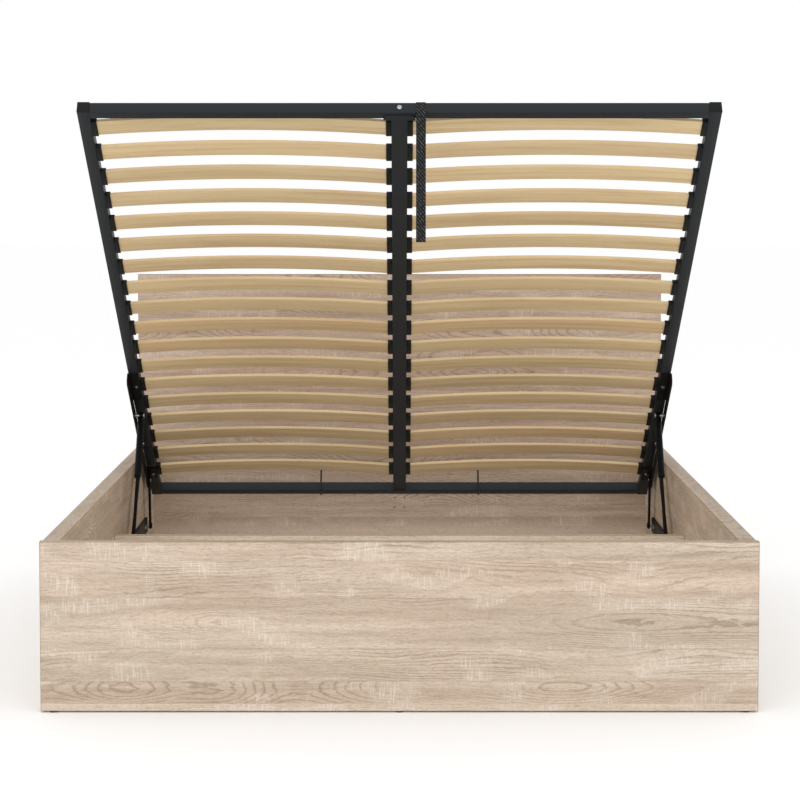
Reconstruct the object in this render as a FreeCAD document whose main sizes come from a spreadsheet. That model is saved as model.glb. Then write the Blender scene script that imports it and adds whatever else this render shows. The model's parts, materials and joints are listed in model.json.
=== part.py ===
"""Double storage bed: a board box and a slat frame that lifts on arms and gas springs.

X runs across the bed, Y from the footboard to the headboard, Z up. The origin is on the
floor under the middle of the box. The frame is modelled flat, with its own origin under the
middle of its head end, and then placed in the raised pose.
"""
import FreeCAD, Part
import math
import os
import re
import Sketcher
from FreeCAD import Placement, Rotation, Vector

SLAT_ROWS = 18
SCREW_SHARES = (0.1, 0.37, 0.64, 0.9)

SIZES = {
    # Box boards
    "bed_width": 1700,
    "inner_length": 2011,
    "foot_thick": 22,
    "head_thick": 22,
    "side_thick": 42,
    "side_inset": 5,
    "box_height": 405,
    "head_height": 956,
    "board_edge": 1.2,
    "glide_height": 3,
    "glide_radius": 10.3,
    "glide_end_gap": 30,
    # Divider and storage floor
    "divider_thick": 16,
    "divider_height": 261,
    "floor_thick": 5,
    "floor_height": 40,
    "groove_depth": 6,
    "groove_fit": 0.3,
    # Pilot holes in the headboard
    "pilot_pitch": 32,
    "pilot_radius": 2.5,
    "pilot_depth": 12,
    "pilot_height": 209.5,
    # Slat frame and its raised and lowered places
    "frame_side_gap": 14,
    "open_tilt": 35.88,
    "open_back_share": 0.0889,
    "open_height": 260.3,
    "closed_gap": 13,
    "rest_gap": 3,
    "tube_side": 30,
    "tube_wall": 1.5,
    "cap_thick": 3,
    "cap_plug": 15,
    "cap_fit": 0.2,
    "bar_deep": 25,
    "bar_tall": 30,
    "beam_tall": 25,
    "beam_width": 40,
    # Slats and their holders
    "first_row": 74,
    "last_row": 157.5,
    "slat_width": 53,
    "slat_thick": 9,
    "slat_bow": 16,
    "slat_seat": 3.6,
    "slat_fit": 0.3,
    "holder_reach": 13.5,
    "holder_wall": 1.5,
    # Centre beam brackets and the bolts of the frame
    "bracket_width": 79,
    "bracket_thick": 3.5,
    "bracket_leg": 15,
    "bracket_bevel": 7,
    "bolt_radius": 4,
    "bolt_fit": 0.2,
    "bolt_head_radius": 6.5,
    "bolt_head": 4,
    # Pull strap
    "strap_offset": 52.6,
    "strap_width": 24,
    "strap_thick": 2,
    "strap_fit": 0.3,
    "strap_tail": 314,
    # Mattress stops
    "stop_offset": 250,
    "stop_radius": 2.7,
    "stop_rise": 43,
    "stop_bend": 3.3,
    "stop_fit": 0.3,
    # Upper rails under the side tubes, their places as shares of the frame's length
    "rail_back_share": 0.0504,
    "rail_length_share": 0.3265,
    "rail_drop": 34,
    "rail_thick": 3,
    "rail_bevel": 10,
    "front_tab": 150,
    "rear_tab": 80,
    # Arms and pins
    "pivot_drop": 16,
    "front_pivot_share": 0.1814,
    "rear_pivot_share": 0.0655,
    "arm_width": 22,
    "arm_thick": 6,
    "arm_gap": 1.5,
    "pin_radius": 5,
    "pin_fit": 0.05,
    "pin_head_radius": 8,
    "pin_head": 2.5,
    "pin_gap": 0.3,
    # Base rails on the side panels
    "base_mid": 176,
    "base_tall": 45,
    "base_depth": 8,
    "base_thick": 2.5,
    "base_front": 35,
    "base_back": 20,
    "screw_radius": 2.5,
    "screw_head_radius": 6,
    "screw_head": 2.5,
    "screw_grip": 20,
    # Gas springs
    "spring_pivot_share": 0.2695,
    "spring_drop": 18,
    "spring_ahead": 80,
    "spring_rise": 10,
    "cylinder_radius": 10,
    "cylinder_start": 20,
    "cylinder_end": 205,
    "neck_radius": 5,
    "rod_radius": 5,
    "rod_inside": 30,
    "eye_radius": 10,
    "eye_thick": 12,
    "boss_radius": 7,
    # How far a cutting shape runs past the piece that it cuts
    "overrun": 2,
}

doc = FreeCAD.newDocument("storage_bed")
sheet = doc.addObject("Spreadsheet::Sheet", "Sizes")
for row, (alias, value) in enumerate(SIZES.items(), start=1):
    cell = "A%d" % row
    sheet.set(cell, str(value))
    sheet.setAlias(cell, alias)
doc.recompute()


def size(alias):
    """Number that the sheet holds under an alias."""
    return float(sheet.get(alias))


def bound(text):
    """Expression in which every alias points at the sheet."""
    return re.sub(r"[a-z]\w*", r"Sizes.\g<0>", text)


X_AXIS = Vector(1, 0, 0)
Y_AXIS = Vector(0, 1, 0)
FLAT = Rotation()
UPRIGHT = Rotation(X_AXIS, 90)
SIDE_ON = Rotation(Vector(1, 1, 1), 120)
ALONG_X = Rotation(Y_AXIS, 90)
ALONG_Y = Rotation(X_AXIS, -90)
NODES = []

# Planes and heights of the box
half_width = size("bed_width") / 2
half_length = (size("foot_thick") + size("inner_length") + size("head_thick")) / 2
foot_face = size("foot_thick") - half_length
head_face = half_length - size("head_thick")
base_z = size("glide_height")
side_face = half_width - size("side_inset") - size("side_thick")

# Raised and lowered places of the frame's head end
frame_length = size("inner_length") - 2 * size("closed_gap")
open_y = head_face - size("open_back_share") * frame_length
open_z = base_z + size("open_height")
closed_y = head_face - size("closed_gap")
closed_z = base_z + size("divider_height") + size("rest_gap")
frame_half = side_face - size("frame_side_gap")
tube_inner = frame_half - size("tube_side")
FRAME = Placement(Vector(0, open_y, open_z), Rotation(X_AXIS, -size("open_tilt")))

# Planes of the lift, from the side tube outwards and inwards
flange_outer = frame_half + size("rail_thick")
arm_outer = frame_half - size("arm_gap")
arm_inner = arm_outer - size("arm_thick")
spring_x = arm_inner - size("arm_gap") - size("cylinder_radius")
web_face = side_face - size("base_depth")
base_mid_z = base_z + size("base_mid")


def raised(back, drop):
    """Y and Z of a frame point in the raised pose, from its head end and its underside."""
    point = FRAME.multVec(Vector(0, -back, -drop))
    return point.y, point.z


def base_pivot(back, drop, height):
    """Point at a height that is equally far from a frame point raised and lowered."""
    up_y, up_z = raised(back, drop)
    down_y = closed_y - back
    down_z = closed_z - drop
    slope = (down_z - up_z) / (down_y - up_y)
    return (up_y + down_y) / 2 - (height - (up_z + down_z) / 2) * slope, height


front_back = size("front_pivot_share") * frame_length
rear_back = size("rear_pivot_share") * frame_length
spring_back = size("spring_pivot_share") * frame_length
front_top = raised(front_back, size("pivot_drop"))
rear_top = raised(rear_back, size("pivot_drop"))
spring_top = raised(spring_back, size("spring_drop"))
front_base = base_pivot(front_back, size("pivot_drop"), base_mid_z)
rear_base = base_pivot(rear_back, size("pivot_drop"), base_mid_z)
spring_base = (front_base[0] - size("spring_ahead"), base_mid_z + size("spring_rise"))


def span(start, end):
    """Length and angle in degrees of the line between two points of a YZ plane."""
    run = end[0] - start[0]
    rise = end[1] - start[1]
    return math.hypot(run, rise), math.degrees(math.atan2(rise, run))


def place(x, y, z, turn=FLAT):
    """Place in the bed."""
    return Placement(Vector(x, y, z), turn)


def on_frame(x, y, z, turn=FLAT):
    """Place in the slat frame, which carries it to the raised pose."""
    return FRAME.multiply(Placement(Vector(x, y, z), turn))


def block(name, length, width, height, where):
    """Box with its three sides bound to the sheet."""
    box = doc.addObject("Part::Box", name)
    box.setExpression("Length", bound(length))
    box.setExpression("Width", bound(width))
    box.setExpression("Height", bound(height))
    box.Placement = where
    return box


def drum(name, radius, height, where):
    """Cylinder with its radius and height bound to the sheet."""
    cylinder = doc.addObject("Part::Cylinder", name)
    cylinder.setExpression("Radius", bound(radius))
    cylinder.setExpression("Height", bound(height))
    cylinder.Placement = where
    return cylinder


def fused(name, pieces):
    """One solid out of several that meet."""
    fuse = doc.addObject("Part::MultiFuse", name)
    fuse.Shapes = pieces
    fuse.Refine = True
    return fuse


def cut(name, base, tools):
    """A solid with one or more shapes taken away."""
    result = doc.addObject("Part::Cut", name)
    result.Base = base
    result.Tool = tools[0] if len(tools) == 1 else group(name + "_tools", tools)
    return result


def group(name, pieces):
    """Several solids that share one name."""
    compound = doc.addObject("Part::Compound", name)
    compound.Links = pieces
    return compound


def mirrored(name, source):
    """The same piece on the other side of the bed."""
    mirror = doc.addObject("Part::Mirroring", name)
    mirror.Source = source
    mirror.Normal = X_AXIS
    return mirror


def keep(label, piece):
    """Name a finished sub-part."""
    piece.Label = label
    NODES.append(piece)
    return piece


def keep_pair(name, right):
    """Name a right-hand piece and its mirror image on the left."""
    keep(name + "_right", right)
    keep(name + "_left", mirrored(name + "_mirror", right))


def new_sketch(body, name):
    """Sketch on the body's own XY plane."""
    plane = [item for item in body.Origin.OriginFeatures if item.Role == "XY_Plane"][0]
    sketch = body.newObject("Sketcher::SketchObject", name)
    sketch.AttachmentSupport = [(plane, "")]
    sketch.MapMode = "FlatFace"
    return sketch


def pin_point(sketch, line, across, along):
    """Hold the start of a line at two bound distances from the sketch's origin."""
    for kind, text, axis in (("DistanceX", across, -2), ("DistanceY", along, -1)):
        if text == "0":
            sketch.addConstraint(Sketcher.Constraint("PointOnObject", line, 1, axis))
            continue
        start = sketch.getPoint(line, 1)
        reach = start.x if kind == "DistanceX" else start.y
        index = sketch.addConstraint(Sketcher.Constraint(kind, -1, 1, line, 1, reach))
        sketch.setExpression("Constraints[%d]" % index, bound(text))


def worked(text):
    """Number that a bound text gives."""
    doc_value = sheet.evalExpression(bound(text)) if text != "0" else 0
    return float(doc_value)


def draw_outline(sketch, corners):
    """Closed outline through corners given as bound texts."""
    points = [Vector(worked(across), worked(along), 0) for across, along in corners]
    first = sketch.GeometryCount
    count = len(points)
    for index, point in enumerate(points):
        sketch.addGeometry(Part.LineSegment(point, points[(index + 1) % count]))
    for index in range(count):
        after = first + (index + 1) % count
        sketch.addConstraint(Sketcher.Constraint("Coincident", first + index, 2, after, 1))
    for index, (across, along) in enumerate(corners):
        pin_point(sketch, first + index, across, along)


def padded(name, outlines, depth, where):
    """Body that pads one or more outlines upwards by a bound depth."""
    body = doc.addObject("PartDesign::Body", name)
    sketch = new_sketch(body, name + "_outline")
    for corners in outlines:
        draw_outline(sketch, corners)
    pad = body.newObject("PartDesign::Pad", name + "_pad")
    pad.Profile = sketch
    pad.setExpression("Length", bound(depth))
    body.Placement = where
    return body


def rectangle(width, height):
    """Corners of a rectangle in the first quadrant."""
    return [("0", "0"), (width, "0"), (width, height), ("0", height)]


def softened(body, radius):
    """Round every edge of the body's last feature."""
    doc.recompute()
    base = body.Tip
    fillet = body.newObject("PartDesign::Fillet", body.Name + "_edges")
    fillet.Base = (base, ["Edge%d" % (i + 1) for i in range(len(base.Shape.Edges))])
    fillet.setExpression("Radius", bound(radius))
    return body


def hollow_bar(name, width, height, length, where):
    """Rectangular tube along its pad direction."""
    wall = "tube_wall"
    inner = [
        (wall, wall),
        ("%s - %s" % (width, wall), wall),
        ("%s - %s" % (width, wall), "%s - %s" % (height, wall)),
        (wall, "%s - %s" % (height, wall)),
    ]
    return padded(name, [rectangle(width, height), inner], length, where)


# Lengths that follow from the box and from the pivots
front_length, front_angle = span(front_base, front_top)
rear_length, rear_angle = span(rear_base, rear_top)
spring_length, spring_angle = span(spring_top, spring_base)
base_start = spring_base[0] - size("base_front")
base_end = rear_base[0] + size("base_back")
slat_inner = size("beam_width") / 2 + size("holder_wall") + size("slat_fit")
slat_outer = tube_inner - size("holder_wall") - size("slat_fit")
DERIVED = {
    "frame_width": 2 * frame_half,
    "frame_length": frame_length,
    "rail_length": size("rail_length_share") * frame_length,
    "front_length": front_length,
    "rear_length": rear_length,
    "spring_length": spring_length,
    "base_length": base_end - base_start,
    "slat_length": slat_outer - slat_inner,
    "base_gap": web_face - arm_outer,
    "boss_length": web_face - spring_x - size("eye_thick") / 2 - size("pin_gap"),
}
for row, (alias, value) in enumerate(DERIVED.items(), start=1):
    cell = "C%d" % row
    sheet.set(cell, repr(value))
    sheet.setAlias(cell, alias)
doc.recompute()
INNER_WIDTH = "bed_width - 2 * side_inset - 2 * side_thick"
GROOVE_TALL = "floor_thick + 2 * groove_fit"
GROOVE_REACH = "groove_depth - groove_fit"
groove_z = base_z + size("floor_height") - size("groove_fit")


def make_boards():
    """Footboard, headboard and divider, with the grooves that hold the storage floor."""
    groove_deep = "groove_depth + overrun"
    foot = padded("foot_board", [rectangle("bed_width", "box_height")], "foot_thick",
                  place(-half_width, foot_face, base_z, UPRIGHT))
    groove_wide = "%s + 2 * groove_depth" % INNER_WIDTH
    groove_x = -side_face - size("groove_depth")
    foot_groove = block("foot_groove", groove_wide, groove_deep, GROOVE_TALL,
                        place(groove_x, foot_face - size("groove_depth"), groove_z))
    keep("footboard", cut("footboard", softened(foot, "board_edge"), [foot_groove]))

    head = padded("head_board", [rectangle("bed_width", "head_height")], "head_thick",
                  place(-half_width, half_length, base_z, UPRIGHT))
    tools = [block("head_groove", groove_wide, groove_deep, GROOVE_TALL,
                   place(groove_x, head_face - size("overrun"), groove_z))]
    reach = size("pilot_pitch") / 2
    for x in (-reach, reach):
        for z in (-reach, reach):
            where = place(x, head_face - size("overrun"), base_z + size("pilot_height") + z, ALONG_Y)
            tools.append(drum("pilot", "pilot_radius", "pilot_depth + overrun", where))
    keep("headboard", cut("headboard", softened(head, "board_edge"), tools))

    half_divider = size("divider_thick") / 2
    divider = padded("divider_board", [rectangle(INNER_WIDTH, "divider_height")], "divider_thick",
                     place(-side_face, half_divider, base_z, UPRIGHT))
    near = block("divider_groove_foot", INNER_WIDTH, groove_deep, GROOVE_TALL,
                 place(-side_face, -half_divider - size("overrun"), groove_z))
    far = block("divider_groove_head", INNER_WIDTH, groove_deep, GROOVE_TALL,
                place(-side_face, half_divider - size("groove_depth"), groove_z))
    keep("cross_divider", cut("cross_divider", divider, [near, far]))


def screw_places():
    """Y of each base rail screw."""
    return [base_start + share * size("base_length") for share in SCREW_SHARES]


def make_side_panels():
    """Side panels with a floor groove and the holes of the base rail screws."""
    panel = padded("side_board", [rectangle("inner_length", "box_height")], "side_thick",
                   place(side_face, foot_face, base_z, SIDE_ON))
    tools = [block("side_groove", "groove_depth + overrun", "inner_length", GROOVE_TALL,
                   place(side_face - size("overrun"), foot_face, groove_z))]
    for y in screw_places():
        where = place(side_face - size("overrun"), y, base_mid_z, ALONG_X)
        tools.append(drum("screw_hole", "screw_radius + pin_fit", "screw_grip + 2 * overrun", where))
    keep_pair("side_panel", cut("side_panel", softened(panel, "board_edge"), tools))


def make_floor():
    """Storage floor panels, held by their edges in the grooves."""
    reach = size("groove_depth") - size("groove_fit")
    width = "%s + 2 * (%s)" % (INNER_WIDTH, GROOVE_REACH)
    length = "(inner_length - divider_thick) / 2 + 2 * (%s)" % GROOVE_REACH
    starts = (("foot", foot_face - reach), ("head", size("divider_thick") / 2 - reach))
    for end, y in starts:
        where = place(-side_face - reach, y, base_z + size("floor_height"))
        keep("floor_panel_" + end, block("floor_" + end, width, length, "floor_thick", where))


def make_glides():
    """Round glides under the end boards."""
    reach = half_width - size("glide_end_gap")
    middles = (("foot", foot_face - size("foot_thick") / 2), ("head", head_face + size("head_thick") / 2))
    for end, y in middles:
        glides = [drum("glide_" + end, "glide_radius", "glide_height", place(x, y, 0))
                  for x in (-reach, 0, reach)]
        keep("glides_" + end, group("glides_" + end, glides))


# Frame, from its foot end to its head end
foot_bar_y = size("cap_thick") - frame_length
foot_bar_inner = foot_bar_y + size("bar_deep")
head_bar_y = -size("cap_thick") - size("bar_deep")
bar_middle = size("bar_tall") / 2
rail_rear_y = -size("rail_back_share") * frame_length
rail_front_y = rail_rear_y - size("rail_length")
tab_bolts = (rail_front_y + size("front_tab") / 2, rail_rear_y - size("rear_tab") / 2)
tube_middle = frame_half - size("tube_side") / 2


def make_tubes():
    """Side tubes, drilled for the upper rails, and their end caps."""
    tube = hollow_bar("side_tube", "tube_side", "tube_side", "frame_length - 2 * cap_thick",
                      on_frame(tube_inner, -size("cap_thick"), 0, UPRIGHT))
    holes = [drum("tube_hole", "bolt_radius + bolt_fit", "tube_wall + 2 * overrun",
                  on_frame(tube_middle, y, -size("overrun"))) for y in tab_bolts]
    keep_pair("frame_tube", cut("frame_tube", tube, holes))

    inset = size("tube_wall") + size("cap_fit")
    plug_side = "tube_side - 2 * tube_wall - 2 * cap_fit"
    caps = []
    lips = (-size("cap_thick"), -frame_length)
    plugs = (-size("cap_thick") - size("cap_plug"), foot_bar_y)
    for lip_y, plug_y in zip(lips, plugs):
        lip = block("cap_lip", "tube_side", "cap_thick", "tube_side", on_frame(tube_inner, lip_y, 0))
        plug = block("cap_plug_block", plug_side, "cap_plug", plug_side,
                     on_frame(tube_inner + inset, plug_y, inset))
        caps.append(fused("end_cap", [lip, plug]))
    keep_pair("end_caps", group("end_caps", caps))


def make_bars():
    """Crossbars at both ends and the centre beam between its brackets."""
    for end, y in (("foot", foot_bar_y), ("head", head_bar_y)):
        bar = hollow_bar(end + "_bar", "bar_deep", "bar_tall", "frame_width - 2 * tube_side",
                         on_frame(-tube_inner, y, 0, SIDE_ON))
        hole = drum(end + "_bar_hole", "bolt_radius + bolt_fit", "bar_deep + 2 * overrun",
                    on_frame(0, y - size("overrun"), bar_middle, ALONG_Y))
        keep(end + "_crossbar", cut(end + "_crossbar", bar, [hole]))
    beam = hollow_bar("beam", "beam_width", "beam_tall",
                      "frame_length - 2 * (cap_thick + bar_deep + bracket_thick)",
                      on_frame(-size("beam_width") / 2, head_bar_y - size("bracket_thick"), 0, UPRIGHT))
    keep("centre_beam", beam)


def make_brackets():
    """Angle brackets that hold the centre beam to the crossbars."""
    leg = "bracket_leg"
    far = "bracket_leg + bracket_thick"
    thick = "bracket_thick"
    tall = "bracket_thick + beam_tall"
    foot_corners = [("0", "0"), (far, "0"), (far, tall), (leg, tall), (leg, thick), ("0", thick)]
    head_corners = [("0", "0"), (far, "0"), (far, thick), (thick, thick), (thick, tall), ("0", tall)]
    half = size("bracket_width") / 2
    ends = (
        ("foot", foot_corners, foot_bar_inner - size("bracket_leg"), 0, foot_bar_inner),
        ("head", head_corners, head_bar_y - size("bracket_thick"),
         size("bracket_leg") + size("bracket_thick"), head_bar_y - size("bracket_thick")),
    )
    for end, corners, start_y, tip, leg_y in ends:
        plate = padded(end + "_bracket", [corners], "bracket_width",
                       on_frame(-half, start_y, -size("bracket_thick"), SIDE_ON))
        doc.recompute()
        pad = plate.Tip
        edges = []
        for index, edge in enumerate(pad.Shape.Edges, start=1):
            runs_up = abs(edge.tangentAt(edge.FirstParameter).y) > 0.5
            if runs_up and abs(edge.CenterOfMass.x - tip) < size("bracket_thick") / 2:
                edges.append("Edge%d" % index)
        bevel = plate.newObject("PartDesign::Chamfer", end + "_bracket_bevel")
        bevel.Base = (pad, edges)
        bevel.setExpression("Size", bound("bracket_bevel"))
        hole = drum(end + "_bracket_hole", "bolt_radius + bolt_fit", "bracket_thick + 2 * overrun",
                    on_frame(0, leg_y - size("overrun"), bar_middle, ALONG_Y))
        keep("beam_bracket_" + end, cut("beam_bracket_" + end, plate, [hole]))


def make_bolt(name, grip, where):
    """Bolt with a round head below and a round nut above the grip, along its own Z."""
    below = where.multiply(Placement(Vector(0, 0, -size("bolt_head")), FLAT))
    head = drum(name + "_head", "bolt_head_radius", "bolt_head", below)
    shank = drum(name + "_shank", "bolt_radius", grip + " + bolt_head", where)
    above = where.multiply(Placement(Vector(0, 0, worked(grip)), FLAT))
    nut = drum(name + "_nut", "bolt_head_radius", "bolt_head", above)
    return fused(name, [head, shank, nut])


def make_frame_bolts():
    """Bolts of the centre beam's brackets and of the upper rails."""
    bolts = [
        make_bolt("foot_bolt", "bar_deep + bracket_thick", on_frame(0, foot_bar_y, bar_middle, ALONG_Y)),
        make_bolt("head_bolt", "bar_deep + bracket_thick",
                  on_frame(0, -size("cap_thick"), bar_middle, UPRIGHT)),
    ]
    for y in tab_bolts:
        where = on_frame(tube_middle, y, -size("rail_thick"))
        bolt = make_bolt("rail_bolt", "rail_thick + tube_wall", where)
        bolts.extend([bolt, mirrored("rail_bolt_mirror", bolt)])
    keep("frame_bolts", group("frame_bolts", bolts))


def draw_slat(sketch):
    """Bowed slat: two arcs about one centre, closed by upright ends."""
    half = size("slat_length") / 2
    bow = size("slat_bow")
    thick = size("slat_thick")
    radius = (half * half + bow * bow) / (2 * bow)
    centre = Vector(0, bow - radius, 0)
    lift = math.sqrt((radius + thick) ** 2 - half * half) + centre.y
    low_start = math.atan2(-centre.y, half)
    high_start = math.atan2(lift - centre.y, half)
    lower = sketch.addGeometry(
        Part.ArcOfCircle(Part.Circle(centre, Vector(0, 0, 1), radius), low_start, math.pi - low_start))
    upper = sketch.addGeometry(
        Part.ArcOfCircle(Part.Circle(centre, Vector(0, 0, 1), radius + thick),
                         high_start, math.pi - high_start))
    right = sketch.addGeometry(Part.LineSegment(Vector(half, 0, 0), Vector(half, lift, 0)))
    left = sketch.addGeometry(Part.LineSegment(Vector(-half, 0, 0), Vector(-half, lift, 0)))
    for first, end, second, start in ((lower, 1, right, 1), (upper, 1, right, 2),
                                      (lower, 2, left, 1), (upper, 2, left, 2), (lower, 3, upper, 3)):
        sketch.addConstraint(Sketcher.Constraint("Coincident", first, end, second, start))
    sketch.addConstraint(Sketcher.Constraint("Vertical", right))
    sketch.addConstraint(Sketcher.Constraint("Vertical", left))
    sketch.addConstraint(Sketcher.Constraint("PointOnObject", lower, 1, -1))
    sketch.addConstraint(Sketcher.Constraint("PointOnObject", lower, 2, -1))
    sketch.addConstraint(Sketcher.Constraint("PointOnObject", lower, 3, -2))
    drives = (
        (Sketcher.Constraint("DistanceX", lower, 2, lower, 1, 2 * half), "slat_length"),
        (Sketcher.Constraint("Radius", lower, radius),
         "(slat_length ^ 2 / 4 + slat_bow ^ 2) / (2 * slat_bow)"),
        (Sketcher.Constraint("Radius", upper, radius + thick),
         "(slat_length ^ 2 / 4 + slat_bow ^ 2) / (2 * slat_bow) + slat_thick"),
    )
    for constraint, text in drives:
        index = sketch.addConstraint(constraint)
        sketch.setExpression("Constraints[%d]" % index, bound(text))


def row_place(number):
    """Y of a slat row's middle on the frame, counted from the foot end."""
    pitch = (frame_length - size("first_row") - size("last_row")) / (SLAT_ROWS - 1)
    return size("first_row") + number * pitch - frame_length


def make_slats():
    """Rows of two bowed slats."""
    middle = (slat_inner + slat_outer) / 2
    for number in range(SLAT_ROWS):
        name = "slat_row_%02d" % (number + 1)
        body = doc.addObject("PartDesign::Body", name + "_slat")
        sketch = new_sketch(body, name + "_outline")
        draw_slat(sketch)
        pad = body.newObject("PartDesign::Pad", name + "_pad")
        pad.Profile = sketch
        pad.setExpression("Length", bound("slat_width"))
        y = row_place(number) + size("slat_width") / 2
        body.Placement = on_frame(middle, y, size("slat_seat"), UPRIGHT)
        keep(name, group(name, [body, mirrored(name + "_mirror", body)]))


SLAT_RISE = "4 * slat_bow / slat_length * holder_reach"
POCKET_TALL = "slat_thick + %s + 2 * slat_fit" % SLAT_RISE
POCKET_LONG = "slat_width + 2 * slat_fit"
POCKET_DEEP = "holder_reach - holder_wall + overrun"
HOLDER_TALL = "%s + 2 * holder_wall" % POCKET_TALL
HOLDER_LONG = "%s + 2 * holder_wall" % POCKET_LONG


def make_holder(name, row_y, start_x, pocket_x):
    """Sleeve for one slat end, open towards the slat's middle."""
    pocket_y = row_y - worked(POCKET_LONG) / 2
    pocket_z = size("slat_seat") - size("slat_fit")
    wall = size("holder_wall")
    sleeve = block(name, "holder_reach", HOLDER_LONG, HOLDER_TALL,
                   on_frame(start_x, pocket_y - wall, pocket_z - wall))
    pocket = block(name + "_pocket", POCKET_DEEP, POCKET_LONG, POCKET_TALL,
                   on_frame(pocket_x, pocket_y, pocket_z))
    return cut(name + "_cut", sleeve, [pocket])


def make_holders():
    """Slat holders of every row: one on each side tube and one on each side of the centre beam."""
    at_tube = []
    at_beam = []
    beam_half = size("beam_width") / 2
    mouth = tube_inner - size("holder_reach")
    for number in range(SLAT_ROWS):
        row_y = row_place(number)
        at_tube.append(make_holder("tube_holder", row_y, mouth, mouth - size("overrun")))
        holder = make_holder("beam_holder", row_y, beam_half, beam_half + size("holder_wall"))
        at_beam.extend([holder, mirrored("beam_holder_mirror", holder)])
    keep_pair("holders", group("holders_tube", at_tube))
    keep("holders_beam", group("holders_beam", at_beam))


def make_mattress_stops():
    """Bent wires that hook under the head crossbar and stand up beside it."""
    gap = size("stop_radius") + size("stop_fit")
    upright_y = head_bar_y - gap
    bend_y = upright_y + size("stop_bend")
    bend_z = size("stop_bend") - gap
    x = size("stop_offset")
    upright = drum("stop_upright", "stop_radius", "bar_tall + stop_rise - stop_bend + stop_radius + stop_fit",
                   on_frame(x, upright_y, bend_z))
    tip = doc.addObject("Part::Sphere", "stop_tip")
    tip.setExpression("Radius", bound("stop_radius"))
    tip.Placement = on_frame(x, upright_y, size("bar_tall") + size("stop_rise"))
    bend = doc.addObject("Part::Torus", "stop_bend_ring")
    bend.setExpression("Radius1", bound("stop_bend"))
    bend.setExpression("Radius2", bound("stop_radius"))
    bend.Angle3 = 90
    bend.Placement = on_frame(x, bend_y, bend_z, Rotation(X_AXIS, 180).multiply(SIDE_ON))
    hook = drum("stop_hook", "stop_radius", "bar_deep - stop_bend", on_frame(x, bend_y, -gap, ALONG_Y))
    stop = fused("mattress_stop", [upright, tip, bend, hook])
    keep("mattress_stops", group("mattress_stops", [stop, mirrored("mattress_stop_mirror", stop)]))


def make_strap():
    """Webbing loop round the foot crossbar and the tail that hangs from it."""
    skin = size("strap_fit") + size("strap_thick")
    start_x = size("strap_offset") - size("strap_width") / 2
    deep = "bar_deep + 2 * (strap_fit + strap_thick)"
    tall = "bar_tall + 2 * (strap_fit + strap_thick)"
    near = "strap_thick"
    back = "bar_deep + 2 * strap_fit + strap_thick"
    top = "bar_tall + 2 * strap_fit + strap_thick"
    hole = [(near, near), (back, near), (back, top), (near, top)]
    loop = padded("strap_ring", [rectangle(deep, tall), hole], "strap_width",
                  on_frame(start_x, foot_bar_y - skin, -skin, SIDE_ON))
    keep("strap_loop", loop)

    half = size("strap_thick") / 2
    hinge = on_frame(0, foot_bar_y - size("strap_fit") - half, -skin - size("strap_fit") - half).Base
    web = block("strap_web", "strap_width", "strap_thick", "strap_tail",
                place(start_x, hinge.y - half, hinge.z - size("strap_tail")))
    fold = drum("strap_fold", "strap_thick / 2", "strap_width", place(start_x, hinge.y, hinge.z, ALONG_X))
    keep("strap_tail", fused("strap_tail", [web, fold]))


def make_upper_rails():
    """Flanged rails under the side tubes, with the holes of their pins and bolts."""
    bevel = "rail_bevel"
    end = "rail_length - rail_bevel"
    corners = [("0", bevel), (bevel, "0"), (end, "0"), ("rail_length", bevel),
               ("rail_length", "rail_drop"), ("0", "rail_drop")]
    flange = padded("rail_flange", [corners], "rail_thick",
                    on_frame(frame_half, rail_front_y, -size("rail_drop"), SIDE_ON))
    tab_z = -size("rail_thick")
    front = block("rail_front_tab", "tube_side", "front_tab", "rail_thick",
                  on_frame(tube_inner, rail_front_y, tab_z))
    rear = block("rail_rear_tab", "tube_side", "rear_tab", "rail_thick",
                 on_frame(tube_inner, rail_rear_y - size("rear_tab"), tab_z))
    tools = [drum("rail_bolt_hole", "bolt_radius + bolt_fit", "rail_thick + 2 * overrun",
                  on_frame(tube_middle, y, tab_z - size("overrun"))) for y in tab_bolts]
    pivots = ((front_back, "pivot_drop"), (rear_back, "pivot_drop"), (spring_back, "spring_drop"))
    for back, drop in pivots:
        where = on_frame(frame_half - size("overrun"), -back, -size(drop), ALONG_X)
        tools.append(drum("rail_pin_hole", "pin_radius + pin_fit", "rail_thick + 2 * overrun", where))
    keep_pair("upper_rail", cut("upper_rail", fused("rail_whole", [flange, front, rear]), tools))


def pin_head(name, x, point):
    """Flat round head of a pin."""
    return drum(name, "pin_head_radius", "pin_head", place(x, point[0], point[1], ALONG_X))


def make_frame_pins():
    """Pins of the arms and of the gas spring on the upper rails."""
    inner_x = arm_inner - size("pin_gap")
    pins = []
    for name, point in (("front", front_top), ("rear", rear_top)):
        pins.append(fused(name + "_top_pin", [
            pin_head(name + "_top_inner", inner_x - size("pin_head"), point),
            drum(name + "_top_shank", "pin_radius", "rail_thick + arm_gap + arm_thick + pin_gap",
                 place(inner_x, point[0], point[1], ALONG_X)),
            pin_head(name + "_top_outer", flange_outer, point)]))
    eye_x = spring_x - size("eye_thick") / 2 - size("pin_gap")
    pins.append(fused("spring_top_pin", [
        pin_head("spring_pin_inner", eye_x - size("pin_head"), spring_top),
        drum("spring_pin_shank", "pin_radius",
             "pin_gap + eye_thick / 2 + cylinder_radius + 2 * arm_gap + arm_thick + rail_thick",
             place(eye_x, spring_top[0], spring_top[1], ALONG_X)),
        pin_head("spring_pin_outer", flange_outer, spring_top)]))
    keep_pair("frame_pins", group("frame_pins", pins))


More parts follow.
